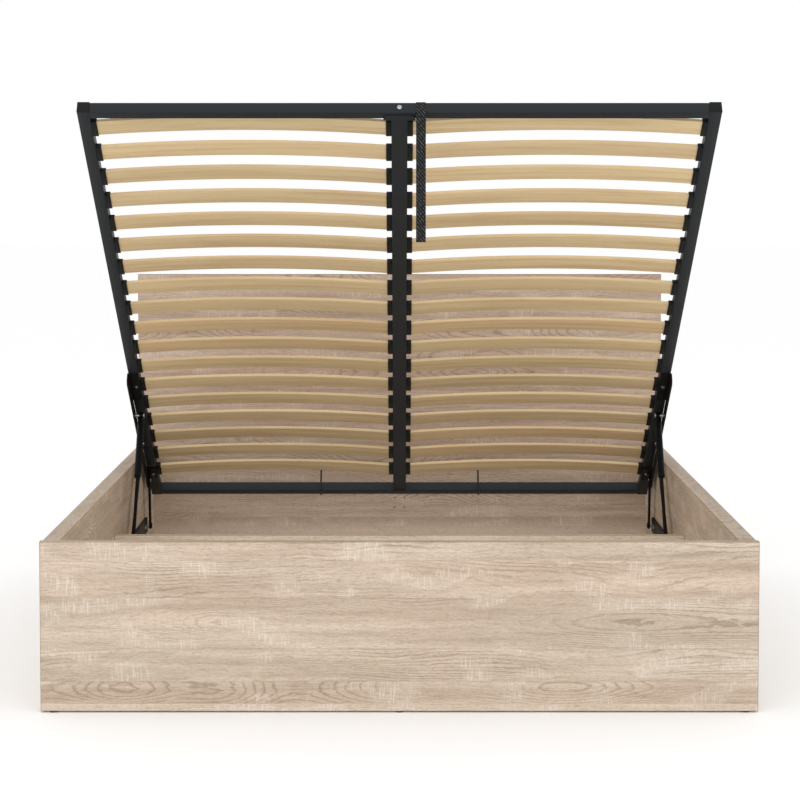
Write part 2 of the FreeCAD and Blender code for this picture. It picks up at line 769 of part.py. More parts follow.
def make_box_pins():
    """Pins on the base rails: the front arm's, the rear arm's shoulder and the gas spring's boss."""
    inner_x = arm_inner - size("pin_gap")
    shoulder_x = arm_outer + size("pin_gap")
    back_x = web_face + size("base_thick")
    pins = []
    for name, point in (("front", front_base), ("rear", rear_base)):
        pieces = [
            drum(name + "_base_shoulder", "pin_head_radius", "base_gap - pin_gap",
                 place(shoulder_x, point[0], point[1], ALONG_X)),
            drum(name + "_base_stud", "pin_radius", "base_thick",
                 place(web_face, point[0], point[1], ALONG_X)),
            pin_head(name + "_base_outer", back_x, point),
        ]
        if name == "front":
            pieces.append(pin_head("front_base_inner", inner_x - size("pin_head"), point))
            pieces.append(drum("front_base_shank", "pin_radius", "2 * pin_gap + arm_thick",
                               place(inner_x, point[0], point[1], ALONG_X)))
        pins.append(fused(name + "_base_pin", pieces))
    boss_x = spring_x + size("eye_thick") / 2 + size("pin_gap")
    pins.append(drum("spring_base_boss", "boss_radius", "boss_length",
                     place(boss_x, spring_base[0], spring_base[1], ALONG_X)))
    keep_pair("box_pins", group("box_pins", pins))


def make_base_rails():
    """Channel rails on the side panels and the screws that hold them."""
    deep = "base_depth"
    tall = "base_tall"
    thick = "base_thick"
    inner = "base_tall - base_thick"
    corners = [("0", "0"), (deep, "0"), (deep, thick), (thick, thick),
               (thick, inner), (deep, inner), (deep, tall), ("0", tall)]
    rail = padded("base_channel", [corners], "base_length",
                  place(web_face, base_end, base_mid_z - size("base_tall") / 2, UPRIGHT))
    tools = []
    for point in (front_base, rear_base):
        tools.append(drum("base_pin_hole", "pin_radius + pin_fit", "base_thick + 2 * overrun",
                          place(web_face - size("overrun"), point[0], point[1], ALONG_X)))
    screws = []
    for y in screw_places():
        where = place(web_face - size("overrun"), y, base_mid_z, ALONG_X)
        tools.append(drum("base_screw_hole", "screw_radius + pin_fit", "base_thick + 2 * overrun", where))
        head = drum("screw_head_disc", "screw_head_radius", "screw_head",
                    place(web_face - size("screw_head"), y, base_mid_z, ALONG_X))
        shank = drum("screw_shank", "screw_radius", "base_depth + screw_grip",
                     place(web_face, y, base_mid_z, ALONG_X))
        screw = fused("base_screw", [head, shank])
        screws.extend([screw, mirrored("base_screw_mirror", screw)])
    keep_pair("base_rail", cut("base_rail", rail, tools))
    keep("base_screws", group("base_screws", screws))


def flat_arm(name, length, where):
    """Flat bar with round ends, from the first pivot along its own X."""
    down = where.multiply(Placement(Vector(0, -size("arm_width") / 2, 0), FLAT))
    end = where.multiply(Placement(Vector(worked(length), 0, 0), FLAT))
    return [
        block(name + "_bar", length, "arm_width", "arm_thick", down),
        drum(name + "_low_end", "arm_width / 2", "arm_thick", where),
        drum(name + "_high_end", "arm_width / 2", "arm_thick", end),
    ], end


def pivot_hole(name, where):
    """Hole of a running pin through an arm."""
    below = where.multiply(Placement(Vector(0, 0, -size("overrun")), FLAT))
    return drum(name, "pin_radius + pin_fit", "arm_thick + 2 * overrun", below)


def make_arms():
    """Front arms, pinned at both ends, and rear arms with a knob at their lower end."""
    front_turn = Rotation(X_AXIS, front_angle).multiply(SIDE_ON)
    where = place(arm_inner, front_base[0], front_base[1], front_turn)
    pieces, top = flat_arm("front_arm", "front_length", where)
    holes = [pivot_hole("front_low_hole", where), pivot_hole("front_high_hole", top)]
    keep_pair("front_arm", cut("front_arm", fused("front_bar", pieces), holes))

    rear_turn = Rotation(X_AXIS, rear_angle).multiply(SIDE_ON)
    where = place(arm_inner, rear_base[0], rear_base[1], rear_turn)
    pieces, top = flat_arm("rear_arm", "rear_length", where)
    pieces.append(pin_head("rear_knob", arm_inner - size("pin_head"), rear_base))
    keep_pair("rear_arm", cut("rear_arm", fused("rear_bar", pieces), [pivot_hole("rear_high_hole", top)]))


def make_gas_springs():
    """Gas spring cylinders on the upper rails and the rods that slide in them."""
    turn = Rotation(X_AXIS, spring_angle - 90)
    axis = place(spring_x, spring_top[0], spring_top[1], turn)
    eye_x = spring_x - size("eye_thick") / 2

    def along(distance):
        return axis.multiply(Placement(Vector(0, 0, distance), FLAT))

    eye = drum("cylinder_eye", "eye_radius", "eye_thick",
               place(eye_x, spring_top[0], spring_top[1], ALONG_X))
    neck = drum("cylinder_neck", "neck_radius", "cylinder_start", axis)
    barrel = drum("cylinder_barrel", "cylinder_radius", "cylinder_end - cylinder_start",
                  along(size("cylinder_start")))
    eye_hole = drum("cylinder_eye_hole", "pin_radius + pin_fit", "eye_thick + 2 * overrun",
                    place(eye_x - size("overrun"), spring_top[0], spring_top[1], ALONG_X))
    bore_start = size("cylinder_start") + size("cylinder_radius")
    bore = drum("cylinder_bore", "rod_radius + pin_fit",
                "cylinder_end - cylinder_start - cylinder_radius + overrun", along(bore_start))
    whole = fused("cylinder_whole", [eye, neck, barrel])
    keep_pair("gas_cylinder", cut("gas_cylinder", whole, [eye_hole, bore]))

    rod = drum("rod_shank", "rod_radius", "spring_length - cylinder_end + rod_inside",
               along(size("cylinder_end") - size("rod_inside")))
    low_eye = drum("rod_eye", "eye_radius", "eye_thick",
                   place(eye_x, spring_base[0], spring_base[1], ALONG_X))
    knob = pin_head("rod_knob", eye_x - size("pin_head"), spring_base)
    keep_pair("gas_rod", fused("gas_rod", [rod, low_eye, knob]))


def check_and_write():
    """Stop at any failed object, then write every sub-part."""
    doc.recompute()
    for item in doc.Objects:
        if "Invalid" in item.State or "Error" in item.State:
            raise RuntimeError("%s failed: %s" % (item.Name, item.State))
    for node in NODES:
        if node.Shape.isNull() or not node.Shape.isValid():
            raise RuntimeError("%s has no valid shape" % node.Label)
    os.makedirs("parts", exist_ok=True)
    for node in NODES:
        node.Shape.exportStep("parts/%s.step" % node.Label)


make_boards()
make_side_panels()
make_floor()
make_glides()
make_tubes()
make_bars()
make_brackets()
make_frame_bolts()
make_slats()
make_holders()
make_mattress_stops()
make_strap()
make_upper_rails()
make_frame_pins()
make_base_rails()
make_box_pins()
make_arms()
make_gas_springs()
check_and_write()
print("%d sub-parts" % len(NODES))
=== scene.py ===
"""Looks of the storage bed: oak boards, bowed slats, coated steel, the pull strap and the stage.

Lengths are in metres in the bed's own frame: X across, Y from the footboard to the headboard,
Z up. Places on the slat frame are given on the frame laid flat, with its origin under the
middle of its head end, and FRAME_TURN carries them to the raised pose.
"""
import json
import math

import bmesh
import bpy
from bpy.props import FloatProperty, FloatVectorProperty, IntProperty, PointerProperty
from mathutils import Matrix, Vector

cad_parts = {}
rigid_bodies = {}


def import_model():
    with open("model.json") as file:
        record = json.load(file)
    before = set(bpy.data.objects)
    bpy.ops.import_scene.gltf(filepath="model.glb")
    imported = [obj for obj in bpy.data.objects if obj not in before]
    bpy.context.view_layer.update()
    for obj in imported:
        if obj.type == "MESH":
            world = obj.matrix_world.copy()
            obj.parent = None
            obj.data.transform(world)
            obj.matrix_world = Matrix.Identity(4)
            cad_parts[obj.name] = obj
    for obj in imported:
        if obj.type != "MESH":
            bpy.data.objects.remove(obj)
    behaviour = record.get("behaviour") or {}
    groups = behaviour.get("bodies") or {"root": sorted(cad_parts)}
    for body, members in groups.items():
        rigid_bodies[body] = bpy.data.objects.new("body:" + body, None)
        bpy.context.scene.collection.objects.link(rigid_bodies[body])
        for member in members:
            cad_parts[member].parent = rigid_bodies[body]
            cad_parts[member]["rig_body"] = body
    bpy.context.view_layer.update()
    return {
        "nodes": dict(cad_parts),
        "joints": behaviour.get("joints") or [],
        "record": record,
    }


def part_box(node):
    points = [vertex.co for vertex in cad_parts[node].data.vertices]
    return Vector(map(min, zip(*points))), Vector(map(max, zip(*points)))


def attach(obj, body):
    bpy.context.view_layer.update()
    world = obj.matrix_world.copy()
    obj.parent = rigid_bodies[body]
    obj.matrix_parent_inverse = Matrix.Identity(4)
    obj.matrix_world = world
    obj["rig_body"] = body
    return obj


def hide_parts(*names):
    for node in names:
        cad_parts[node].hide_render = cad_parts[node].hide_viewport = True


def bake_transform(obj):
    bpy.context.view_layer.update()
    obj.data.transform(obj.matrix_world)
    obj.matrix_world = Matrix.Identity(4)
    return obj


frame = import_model()

bl_info = {
    "name": "Storage bed looks",
    "version": (1, 0, 0),
    "blender": (4, 5, 0),
    "location": "View3D > Sidebar > Bed",
    "description": "Dresses the packed storage bed with its finishes, slats, fasteners and strap",
    "category": "Object",
}

NODES = frame["nodes"]
JOINTS = {joint["name"]: joint for joint in frame["joints"]}
SLOTS = {row["node"]: row["material_slot"] for row in frame["record"]["subparts"]}
MM = 0.001
SAME_POINT = 0.01 * MM
RIGHT = Vector((1, 0, 0))
AHEAD = Vector((0, 1, 0))
UP = Vector((0, 0, 1))
SIDES = ("left", "right")

# Raised pose of the slat frame, its length and rows, and the distance of a gas spring from the middle
FRAME_TILT = math.radians(35.88)
FRAME_HEAD = Vector((0, 0.8290335, 0.2633))
FRAME_TURN = Matrix.Translation(FRAME_HEAD) @ Matrix.Rotation(-FRAME_TILT, 4, "X")
FRAME_LENGTH = 1.985
SLAT_ROWS = 18
SPRING_X = 0.770

# Oak decor: planks in a metre of board and how unevenly they are set out, how far the grain moves from
# plank to plank and on the last plank, the share of the seed that moves it across, and its sway
PLANKS = 11.5
PLANK_LUCK = 0.85
PLANK_JUMP = (7.0, 5.0, 3.0)
LAST_JUMP = (3.1, 1.7)
SEED_SLANT = 0.37
SWAY_SCALE = (4.5, 16, 16)
SWAY = 0.022

# Growth rings: how many in a metre where they run straight and where they arch, how many rings the bends
# and the jags move them by, and the least depth, the spread and the sway of the heart under a plank
STRAIGHT_RINGS = 105.0
ARCHED_RINGS = 310.0
RING_BEND = 16.0
RING_JAG = 0.75
HEART_DEPTH = 0.006
HEART_SPREAD = 0.11
HEART_SWAY = 0.05

# Noise layers: stretch along, across and into the wood, detail, roughness, and limits of the smooth step
OAK_LAYERS = {
    "tone": ((1.1, 17, 17), 3.0, 0.55, 0.32, 0.68),
    "blush": ((0.9, 4, 4), 1.0, 0.5, 0.4, 0.65),
    "streak": ((3.2, 75, 75), 4.0, 0.6, 0.42, 0.72),
    "fine": ((26, 260, 260), 3.0, 0.65, 0.42, 0.7),
    "fleck": ((130, 560, 560), 2.0, 0.6, 0.5, 0.64),
    "pore": ((52, 760, 760), 1.0, 0.5, 0.57, 0.68),
    "saw_zone": ((6.5, 14, 14), 1.0, 0.5, 0.54, 0.63),
    "saw": ((300, 26, 26), 1.0, 0.5, 0.54, 0.64),
    "rub": ((18, 420, 420), 1.0, 0.5, 0.55, 0.68),
    "seam_gap": ((2.5, 1, 1), 2.0, 0.5, 0.45, 0.6),
}
BIRCH_LAYERS = {
    "streak": ((2.2, 70, 40), 4.0, 0.6, 0.4, 0.7),
    "fine": ((16, 520, 300), 2.0, 0.5, 0.45, 0.75),
    "fleck": ((60, 700, 300), 1.0, 0.5, 0.66, 0.78),
    "wave": ((4, 20, 12), 1.0, 0.5, 0.3, 0.7),
}

# Shares of the stains in the order in which they are laid: the oak's dark ones before and after its tints,
# its pale saw marks, and the dark ones of the slats
OAK_STAINS = (("tone", 0.32), ("streak", 0.3), ("fine", 0.2), ("rings", 0.56), ("seam", 0.22))
OAK_MARKS = (("fleck", 0.27), ("pore", 0.4))
SAW_MARKS = (("saw_zone", 0.1), ("saw", 0.4))
BIRCH_STAINS = (("streak", 0.55), ("fine", 0.22))

# Tints of the woods
ROSY = (0.98, 0.91, 0.88, 1)
WARM = (0.97, 0.88, 0.84, 1)
COOL = (0.9, 0.92, 0.91, 1)
SAW_PALE = (0.82, 0.73, 0.62, 1)
BLUSH = (0.94, 0.86, 0.84, 1)
FLECK_BROWN = (0.24, 0.14, 0.06, 1)
WAVE_TINT = (0.8, 0.72, 0.62, 1)
SLAT_WARM = (1.0, 0.93, 0.9, 1)

# Boards: height under which the last plank lies, none on some boards, and the whole of the divider, which
# is made paler as painted light; its lightness, the height of the painted shade under its upper edge, and
# the headboard's own values with its blush
NO_PLANK = -1.0
FOOT_PLANK = 21.5 * MM
HEAD_PLANK = 0.166
WHOLE_DIVIDER_LIT = 1.0
PLANK_LIGHT = 0.55
PLANK_FADE = 0.055
HEAD_LIGHT = 0.85
HEAD_SHADE = 0.5
HEAD_BLUSH = 0.75

# Boards: thickness of the decor over the core, darkness of the joint lines, and the painted shade on the top
# edges
BAND_THICK = 0.3 * MM
JOINT_SHARE = 0.6
TOP_SHADE_SHARE = 0.42

# Slats: jump of the grain between slats, plies in a metre of thickness, and where an edge shows them
SLAT_JUMP = (9.0, 9.0, 9.0)
PLIES = 640
RIM_START = 1.2 * MM
RIM_END = 0.2 * MM

# Webbing: ribs in a metre of its width and of its length, yarns both ways, and patches of wear
RIBS_ACROSS = 123
RIBS_ALONG = 97
YARNS_ACROSS = 800
YARNS_ALONG = 1000
WEAR_SCALE = (190, 190, 190)

# Plain finishes: colour, grains in a metre, spread of shade, roughness limits, relief, metal and gloss
PLAIN_FINISHES = {
    "hardboard": ("hardboard", 300, 0.12, 0.5, 0.62, 0.1, 0.0, 0.3),
    "frame_coat": ("frame_steel", 1100, 0.35, 0.42, 0.54, 0.25, 0.0, 0.2),
    "lift_coat": ("lift_steel", 1100, 0.35, 0.42, 0.54, 0.25, 0.0, 0.14),
    "black_plastic": ("plastic", 1600, 0.3, 0.5, 0.62, 0.3, 0.0, 0.2),
    "zinc": ("zinc", 700, 0.2, 0.2, 0.36, 0.1, 1.0, 0.3),
    "cylinder_lacquer": ("cylinder", 600, 0.2, 0.4, 0.5, 0.05, 0.0, 0.1),
    "dark_rod": ("rod", 900, 0.2, 0.34, 0.44, 0.05, 0.0, 0.12),
}

# Angles: faces count as flat under the first, edges are rounded over the second and shaded sharp over
# the third
FLAT_ANGLE = math.radians(0.6)
EDGE_ANGLE = math.radians(40)
SHARP_ANGLE = math.radians(32)

# Shortest edge that is rounded on each kind of piece, so that shorter ones stay sharp
SHORTEST = {
    "beam_bracket": 4 * MM,
    "end_caps": 20 * MM,
    "holders": 5 * MM,
    "upper_rail": 12 * MM,
    "base_rail": 100 * MM,
    "front_arm": 0,
    "rear_arm": 30 * MM,
}

# Least inner corner radius of a tube as a share of its wall
INNER_SHARE = 0.3

# Gas cylinder: points round it, and heights along the axis and radii of its eye and barrel in millimetres
LATHE_POINTS = 32
EYE_PROFILE = ((-6.0, 5.3), (-6.0, 9.2), (-5.2, 10), (5.2, 10), (6.0, 9.2), (6.0, 5.3))
BARREL_PROFILE = (
    (8.6, 5.0), (17.0, 5.0), (18.5, 7.2), (20.5, 9.2), (22.5, 10.0), (189, 10.0), (190, 9.3),
    (193, 9.3), (194, 10.0), (201, 10.0), (203.5, 9.2), (205, 7.4), (205, 5.3), (198, 5.3))

# Heights of the bolts' heads and nuts and of the screws' heads
BOLT_HEAD = 4 * MM
SCREW_HEAD = 2.5 * MM

# Pull strap: depth of its middle line in the solid loop, bend round the bar, length of the sewn overlap,
# distance of a second layer in thicknesses, and how much wider it opens at its top
STRAP_SKIN = 1.15 * MM
STRAP_BEND = 3.2 * MM
STRAP_SEWN = 42 * MM
STRAP_LAYER = 1.15
STRAP_SPREAD = 1.2

# Pull strap: depth of its hanging point under the solid tail's top, runs that lead off the bar and into
# the tail, length over which it passes from the frame to the tail, and steps round a bend and down the tail
STRAP_TOP = 1 * MM
STRAP_TUCK = 4 * MM
STRAP_START = 3 * MM
BEND_STEPS = 6
TAIL_STEPS = 60

# Cross-section of the webbing in shares of its width and its thickness
WEB_PROFILE = (
    (-0.5, 0.0), (-0.48, 0.42), (-0.4, 0.5), (0.4, 0.5), (0.48, 0.42),
    (0.5, 0.0), (0.48, -0.42), (0.4, -0.5), (-0.4, -0.5), (-0.48, -0.42))

# Stage: backdrop, half the floor's side and its roughness, lights with their places, sizes and powers, and
# the camera
BACKDROP = (1, 1, 1, 1)
FLOOR_REACH = 40.0
FLOOR_ROUGH = 0.9
LIGHTS = (
    ("key_light", (-2.6, -6.4, 2.9), 3.5, 52),
    ("fill_light", (3.2, -6.2, 2.3), 4.0, 34),
    ("top_light", (0.0, -1.6, 5.2), 5.0, 12),
)
LIGHT_AIM = Vector((0, 0, 0.5))
CAMERA_PLACE = (0.001366, -6.27387, 1.24592)
CAMERA_PITCH = 0.0598
CAMERA_SENSOR = 36.0
CAMERA_LENS = 100.887
CAMERA_SHIFT = -0.1

# Node trees: their kinds, the kinds of their sockets, and what surfaces and shapes hand out
SHADING = "ShaderNodeTree"
SHAPING = "GeometryNodeTree"
COLOUR = "NodeSocketColor"
VALUE = "NodeSocketFloat"
VECTOR = "NodeSocketVector"
GEOMETRY = "NodeSocketGeometry"
SURFACE = [(COLOUR, "Colour"), (VALUE, "Roughness", "Height")]
SHAPE = [(GEOMETRY, "Geometry")]


def paint(red, green, blue):
    """Linear colour with full alpha from eight-bit red, green and blue."""
    def straighten(value):
        share = value / 255
        return share / 12.92 if share <= 0.04045 else ((share + 0.055) / 1.055) ** 2.4
    return straighten(red), straighten(green), straighten(blue), 1.0


def length_property(name, description, default):
    """Length that a user can change, with its default in millimetres."""
    return FloatProperty(
        name=name, description=description, default=default * MM, min=0, unit="LENGTH", precision=4)


def colour_property(name, description, default):
    """Colour that a user can change."""
    return FloatVectorProperty(
        name=name, description=description, default=default, size=4, min=0, max=1, subtype="COLOR")


class BedSizes(bpy.types.PropertyGroup):
    """Sizes of the dressed pieces."""

    band_joint: length_property("Band joint", "Width of the joint line along the boards' edges", 1.8)
    tube_round: length_property("Tube corner", "Corner radius of the square tubes", 1.6)
    tube_wall: length_property("Tube wall", "Wall of the square tubes", 1.5)
    sheet_round: length_property("Sheet edge", "Edge radius of the steel plates", 0.7)
    plastic_round: length_property("Plastic edge", "Edge radius of the moulded plastic", 0.6)
    slat_length: length_property("Slat length", "Length of one slat", 735.4)
    slat_width: length_property("Slat width", "Width of one slat", 53)
    slat_thick: length_property("Slat thickness", "Thickness of one slat", 9)
    slat_bow: length_property("Slat bow", "Rise of a slat's middle over its ends", 16)
    slat_round: length_property("Slat edge", "Edge radius of a slat", 1.3)
    slat_seat: length_property("Slat seat", "Height of a slat's ends over the frame's underside", 3.6)
    slat_middle: length_property(
        "Slat middle", "Distance of a slat's middle from the frame's middle", 389.5)
    first_row: length_property("First row", "Distance of the first row from the foot end", 74)
    last_row: length_property("Last row", "Distance of the last row from the head end", 157.5)
    slat_cuts: IntProperty(name="Slat cuts", description="Points along a slat", default=33, min=3)
    strap_width: length_property("Strap width", "Width of the webbing", 24)
    strap_thick: length_property("Strap thickness", "Thickness of the webbing", 1.8)
    strap_hem: length_property("Strap hem", "Length of webbing folded back at the end", 20)
    strap_tail: length_property("Strap tail", "Length of webbing that hangs under the bar", 313)


class BedColours(bpy.types.PropertyGroup):
    """Colours of the finishes."""

    oak_light: colour_property("Oak light", "Light wood of the boards", paint(218, 203, 185))
    # Painted light: the divider's oak is paler to stand in for the light that falls on its front
    divider_oak_painted_light: colour_property("Divider oak painted light", "Light wood of the divider", paint(238, 224, 204))
    oak_dark: colour_property("Oak dark", "Dark grain of the boards", paint(139, 119, 97))
    # Pressed core colour, darkened nearly to black as painted shade inside the holes
    core_with_hole_shade: colour_property("Core with hole shade", "Pressed core inside the boards' holes", paint(24, 16, 11))
    birch_light: colour_property("Birch light", "Light wood of the slats", paint(216, 193, 151))
    birch_dark: colour_property("Birch dark", "Dark grain of the slats", paint(184, 154, 113))
    hardboard: colour_property("Hardboard", "Storage floor", paint(226, 221, 212))
    frame_steel: colour_property("Frame steel", "Anthracite coat of the slat frame", paint(33, 37, 40))
    lift_steel: colour_property("Lift steel", "Black coat of the lift", paint(11, 12, 13))
    plastic: colour_property("Plastic", "Black plastic", paint(15, 16, 18))
    zinc: colour_property("Zinc", "Plated bolts and pins", paint(186, 187, 188))
    cylinder: colour_property("Cylinder", "Lacquer of the gas cylinders", paint(7, 7, 8))
    rod: colour_property("Rod", "Dark rods of the gas springs", paint(8, 8, 9))
    webbing: colour_property("Webbing", "Dark yarn of the strap", paint(25, 25, 26))
    webbing_rib: colour_property("Webbing rib", "Light yarn of the strap", paint(88, 89, 91))
    floor: colour_property("Floor", "Studio floor", paint(254, 254, 254))


class Net:
    """Adds and links the nodes of one tree."""

    def __init__(self, tree):
        self.tree = tree

    def add(self, kind, feeds=None, **settings):
        """New node with its settings made and its sockets fed."""
        node = self.tree.nodes.new(kind)
        for name, value in settings.items():
            setattr(node, name, value)
        self.feed(node.inputs, feeds or {})
        return node

    def feed(self, sockets, feeds):
        """Link each socket to an output, or set its plain value."""
        for socket, value in feeds.items():
            if isinstance(value, bpy.types.NodeSocket):
                self.tree.links.new(value, sockets[socket])
            else:
                sockets[socket].default_value = value

    def first(self, kind, feeds=None, **settings):
        """First output of a new node."""
        return self.add(kind, feeds, **settings).outputs[0]

    def math(self, operation, first, second=0.0):
        """Result of a math node."""
        return self.first("ShaderNodeMath", {0: first, 1: second}, operation=operation)

    def times(self, first, second):
        """Product of two values."""
        return self.math("MULTIPLY", first, second)

    def plus(self, first, second):
        """Sum of two values."""
        return self.math("ADD", first, second)

    def off_middle(self, value):
        """Value less a half."""
        return self.math("SUBTRACT", value, 0.5)

    def vector(self, x=0.0, y=0.0, z=0.0):
        """Vector of three values."""
        return self.first("ShaderNodeCombineXYZ", {0: x, 1: y, 2: z})

    def axes(self, place):
        """X, Y and Z of a vector."""
        return self.add("ShaderNodeSeparateXYZ", {0: place}).outputs

    def join(self, operation, first, second):
        """Result of a math node on two vectors."""
        return self.first("ShaderNodeVectorMath", {0: first, 1: second}, operation=operation)

    def scaled(self, place, share):
        """Vector or colour times a value."""
        return self.first("ShaderNodeVectorMath", {0: place, "Scale": share}, operation="SCALE")

    def ramp(self, value, low, high, start=0.0, end=1.0):
        """Smooth step of a value between two limits."""
        feeds = {"Value": value, "From Min": low, "From Max": high, "To Min": start, "To Max": end}
        return self.first("ShaderNodeMapRange", feeds, interpolation_type="SMOOTHSTEP")

    def noise(self, place, scale, detail=2.0, roughness=0.5):
        """Soft noise on a place with each axis scaled."""
        place = self.first("ShaderNodeMapping", {"Vector": place, "Scale": scale})
        feeds = {"Vector": place, "Scale": 1.0, "Detail": detail, "Roughness": roughness}
        return self.first("ShaderNodeTexNoise", feeds)

    def layers(self, place, table):
        """Masks of the noise layers in a table."""
        masks = {}
        for name, (scale, detail, roughness, low, high) in table.items():
            masks[name] = self.ramp(self.noise(place, scale, detail, roughness), low, high)
        return masks

    def blended(self, share, first, second, blend="MIX"):
        """Mix of two colours."""
        feeds = {0: share, 6: first, 7: second}
        return self.add("ShaderNodeMix", feeds, data_type="RGBA", blend_type=blend).outputs[2]

    def stained(self, colour, mask, share, stain, blend="MIX"):
        """Colour with a share of a stain where a mask is on."""
        return self.blended(self.times(mask, share), colour, stain, blend)

    def group(self, name, feeds):
        """Outputs of a shader group placed in this tree."""
        return self.add("ShaderNodeGroup", feeds, node_tree=bpy.data.node_groups[name]).outputs


def open_tree(name, kind, inputs, outputs):
    """Net of a new node tree with its sockets by kind, and its input and output sockets."""
    tree = bpy.data.node_groups.new(name, kind)
    for way, rows in (("INPUT", inputs), ("OUTPUT", outputs)):
        for socket, *labels in rows:
            for label in labels:
                tree.interface.new_socket(label, in_out=way, socket_type=socket)
    net = Net(tree)
    return net, net.add("NodeGroupInput").outputs, net.add("NodeGroupOutput").inputs


def make_oak_group():
    """Sawn oak decor: planks side by side with wavy grain, growth rings, flecks and pale saw marks.

    The place runs along the grain in X, across it in Y and into the board in Z. What lies under the
    last plank's height has a grain and a lightness of its own, and a painted shade under its upper edge.
    """
    inputs = [(VECTOR, "Place"), (COLOUR, "Light", "Dark"),
              (VALUE, "Seed", "Last plank", "Last light", "Last shade")]
    net, given, result = open_tree("oak_decor", SHADING, inputs, SURFACE)
    times = net.times
    shift = net.vector(given["Seed"], times(given["Seed"], SEED_SLANT))
    place = net.join("ADD", given["Place"], shift)
    height = net.axes(given["Place"])[1]
    last = net.math("LESS_THAN", height, given["Last plank"])

    # Planks, each with a colour and a grain of its own
    row = {"W": times(net.axes(place)[1], PLANKS), "Scale": 1.0, "Randomness": PLANK_LUCK}
    planks = net.add("ShaderNodeTexVoronoi", row, voronoi_dimensions="1D").outputs
    edge = net.add("ShaderNodeTexVoronoi", row, voronoi_dimensions="1D", feature="DISTANCE_TO_EDGE")
    tint = net.add("ShaderNodeSeparateColor", {0: planks["Color"]}).outputs
    wood = net.join("ADD", place, net.join("MULTIPLY", planks["Color"], PLANK_JUMP))
    wood = net.join("ADD", wood, net.vector(*[times(last, jump) for jump in LAST_JUMP]))
    sway = net.off_middle(net.noise(wood, SWAY_SCALE))
    wood = net.join("ADD", wood, net.vector(y=times(sway, SWAY)))
    masks = net.layers(wood, OAK_LAYERS)

    # Growth rings: straight lines, or arches round the heart of a flat-sawn plank
    bend = net.noise(wood, (1.5, 7.5, 7.5), 1.5, 0.45)
    straight = net.plus(times(net.axes(wood)[1], STRAIGHT_RINGS), times(bend, RING_BEND))
    beside = net.plus(times(planks["Distance"], 1 / PLANKS), times(net.off_middle(bend), HEART_SWAY))
    heart = net.plus(HEART_DEPTH, times(net.noise(wood, (1.9, 0.6, 0.6), 1.0), HEART_SPREAD))
    reach = net.plus(net.math("POWER", beside, 2.0), net.math("POWER", heart, 2.0))
    arched = times(net.math("SQRT", reach), ARCHED_RINGS)
    flat_sawn = net.math("GREATER_THAN", tint[2], 0.5)
    flow = net.first("ShaderNodeMix", {0: flat_sawn, 2: straight, 3: arched}, data_type="FLOAT")
    jag = times(net.noise(wood, (34, 120, 120), 2.0, 0.6), RING_JAG)
    turn = net.math("FRACT", net.plus(flow, jag))
    rings = times(net.ramp(turn, 0.58, 0.91), net.ramp(turn, 0.92, 1.0, 1.0, 0.0))
    clear = net.ramp(net.noise(wood, (2, 8, 8), 1.0), 0.43, 0.61, 0.16, 1.0)
    masks["rings"] = times(rings, clear)

    # Saw marks and seams
    rub = times(times(masks["rub"], masks["saw_zone"]), 0.5)
    masks["saw"] = net.math("MAXIMUM", times(masks["saw"], masks["saw_zone"]), rub)
    seam = net.ramp(edge.outputs["Distance"], 0.01, 0.03, 1.0, 0.0)
    masks["seam"] = times(seam, masks["seam_gap"])

    colour = given["Light"]
    for name, share in OAK_STAINS:
        colour = net.stained(colour, masks[name], share, given["Dark"])
    colour = net.stained(colour, masks["blush"], 0.5, ROSY, "MULTIPLY")
    colour = net.blended(net.ramp(tint[0], 0.35, 1.0, 0.0, 0.32), colour, WARM, "MULTIPLY")
    colour = net.blended(net.ramp(tint[1], 0.45, 1.0, 0.0, 0.4), colour, COOL, "MULTIPLY")
    colour = net.stained(colour, last, given["Last light"], given["Light"])
    # Painted shade: the last plank darkens towards its upper edge
    under = net.math("SUBTRACT", given["Last plank"], PLANK_FADE)
    fade = times(net.ramp(height, under, given["Last plank"]), given["Last shade"])
    colour = net.stained(colour, last, fade, given["Dark"])
    for name, share in OAK_MARKS:
        colour = net.stained(colour, masks[name], share, given["Dark"])
    for name, share in SAW_MARKS:
        colour = net.stained(colour, masks[name], share, SAW_PALE)
    rough = net.ramp(masks["fine"], 0.0, 1.0, 0.54, 0.68)
    relief = net.math("SUBTRACT", times(masks["saw"], 0.5), times(masks["fleck"], 0.7))
    relief = net.math("SUBTRACT", relief, times(masks["rings"], 0.5))
    net.feed(result, {"Colour": colour, "Roughness": rough, "Height": relief})


def make_edge_group():
    """Masks of the edge band's fine joint along a board's edges, and of the core inside its holes."""
    inputs = [(VECTOR, "Place", "Middle", "Half"), (VALUE, "Width")]
    net, given, result = open_tree("board_edges", SHADING, inputs, [(VALUE, "Edge", "Core")])
    away = net.join("SUBTRACT", given["Place"], given["Middle"])
    away = net.first("ShaderNodeVectorMath", {0: away}, operation="ABSOLUTE")
    sides = net.axes(net.join("SUBTRACT", given["Half"], away))
    near = [net.math("LESS_THAN", axis, given["Width"]) for axis in sides]
    count = net.plus(net.plus(near[0], near[1]), near[2])
    edge = net.math("GREATER_THAN", count, 1.5)
    depth = net.math("MINIMUM", net.math("MINIMUM", sides[0], sides[1]), sides[2])
    net.feed(result, {"Edge": edge, "Core": net.math("GREATER_THAN", depth, BAND_THICK)})


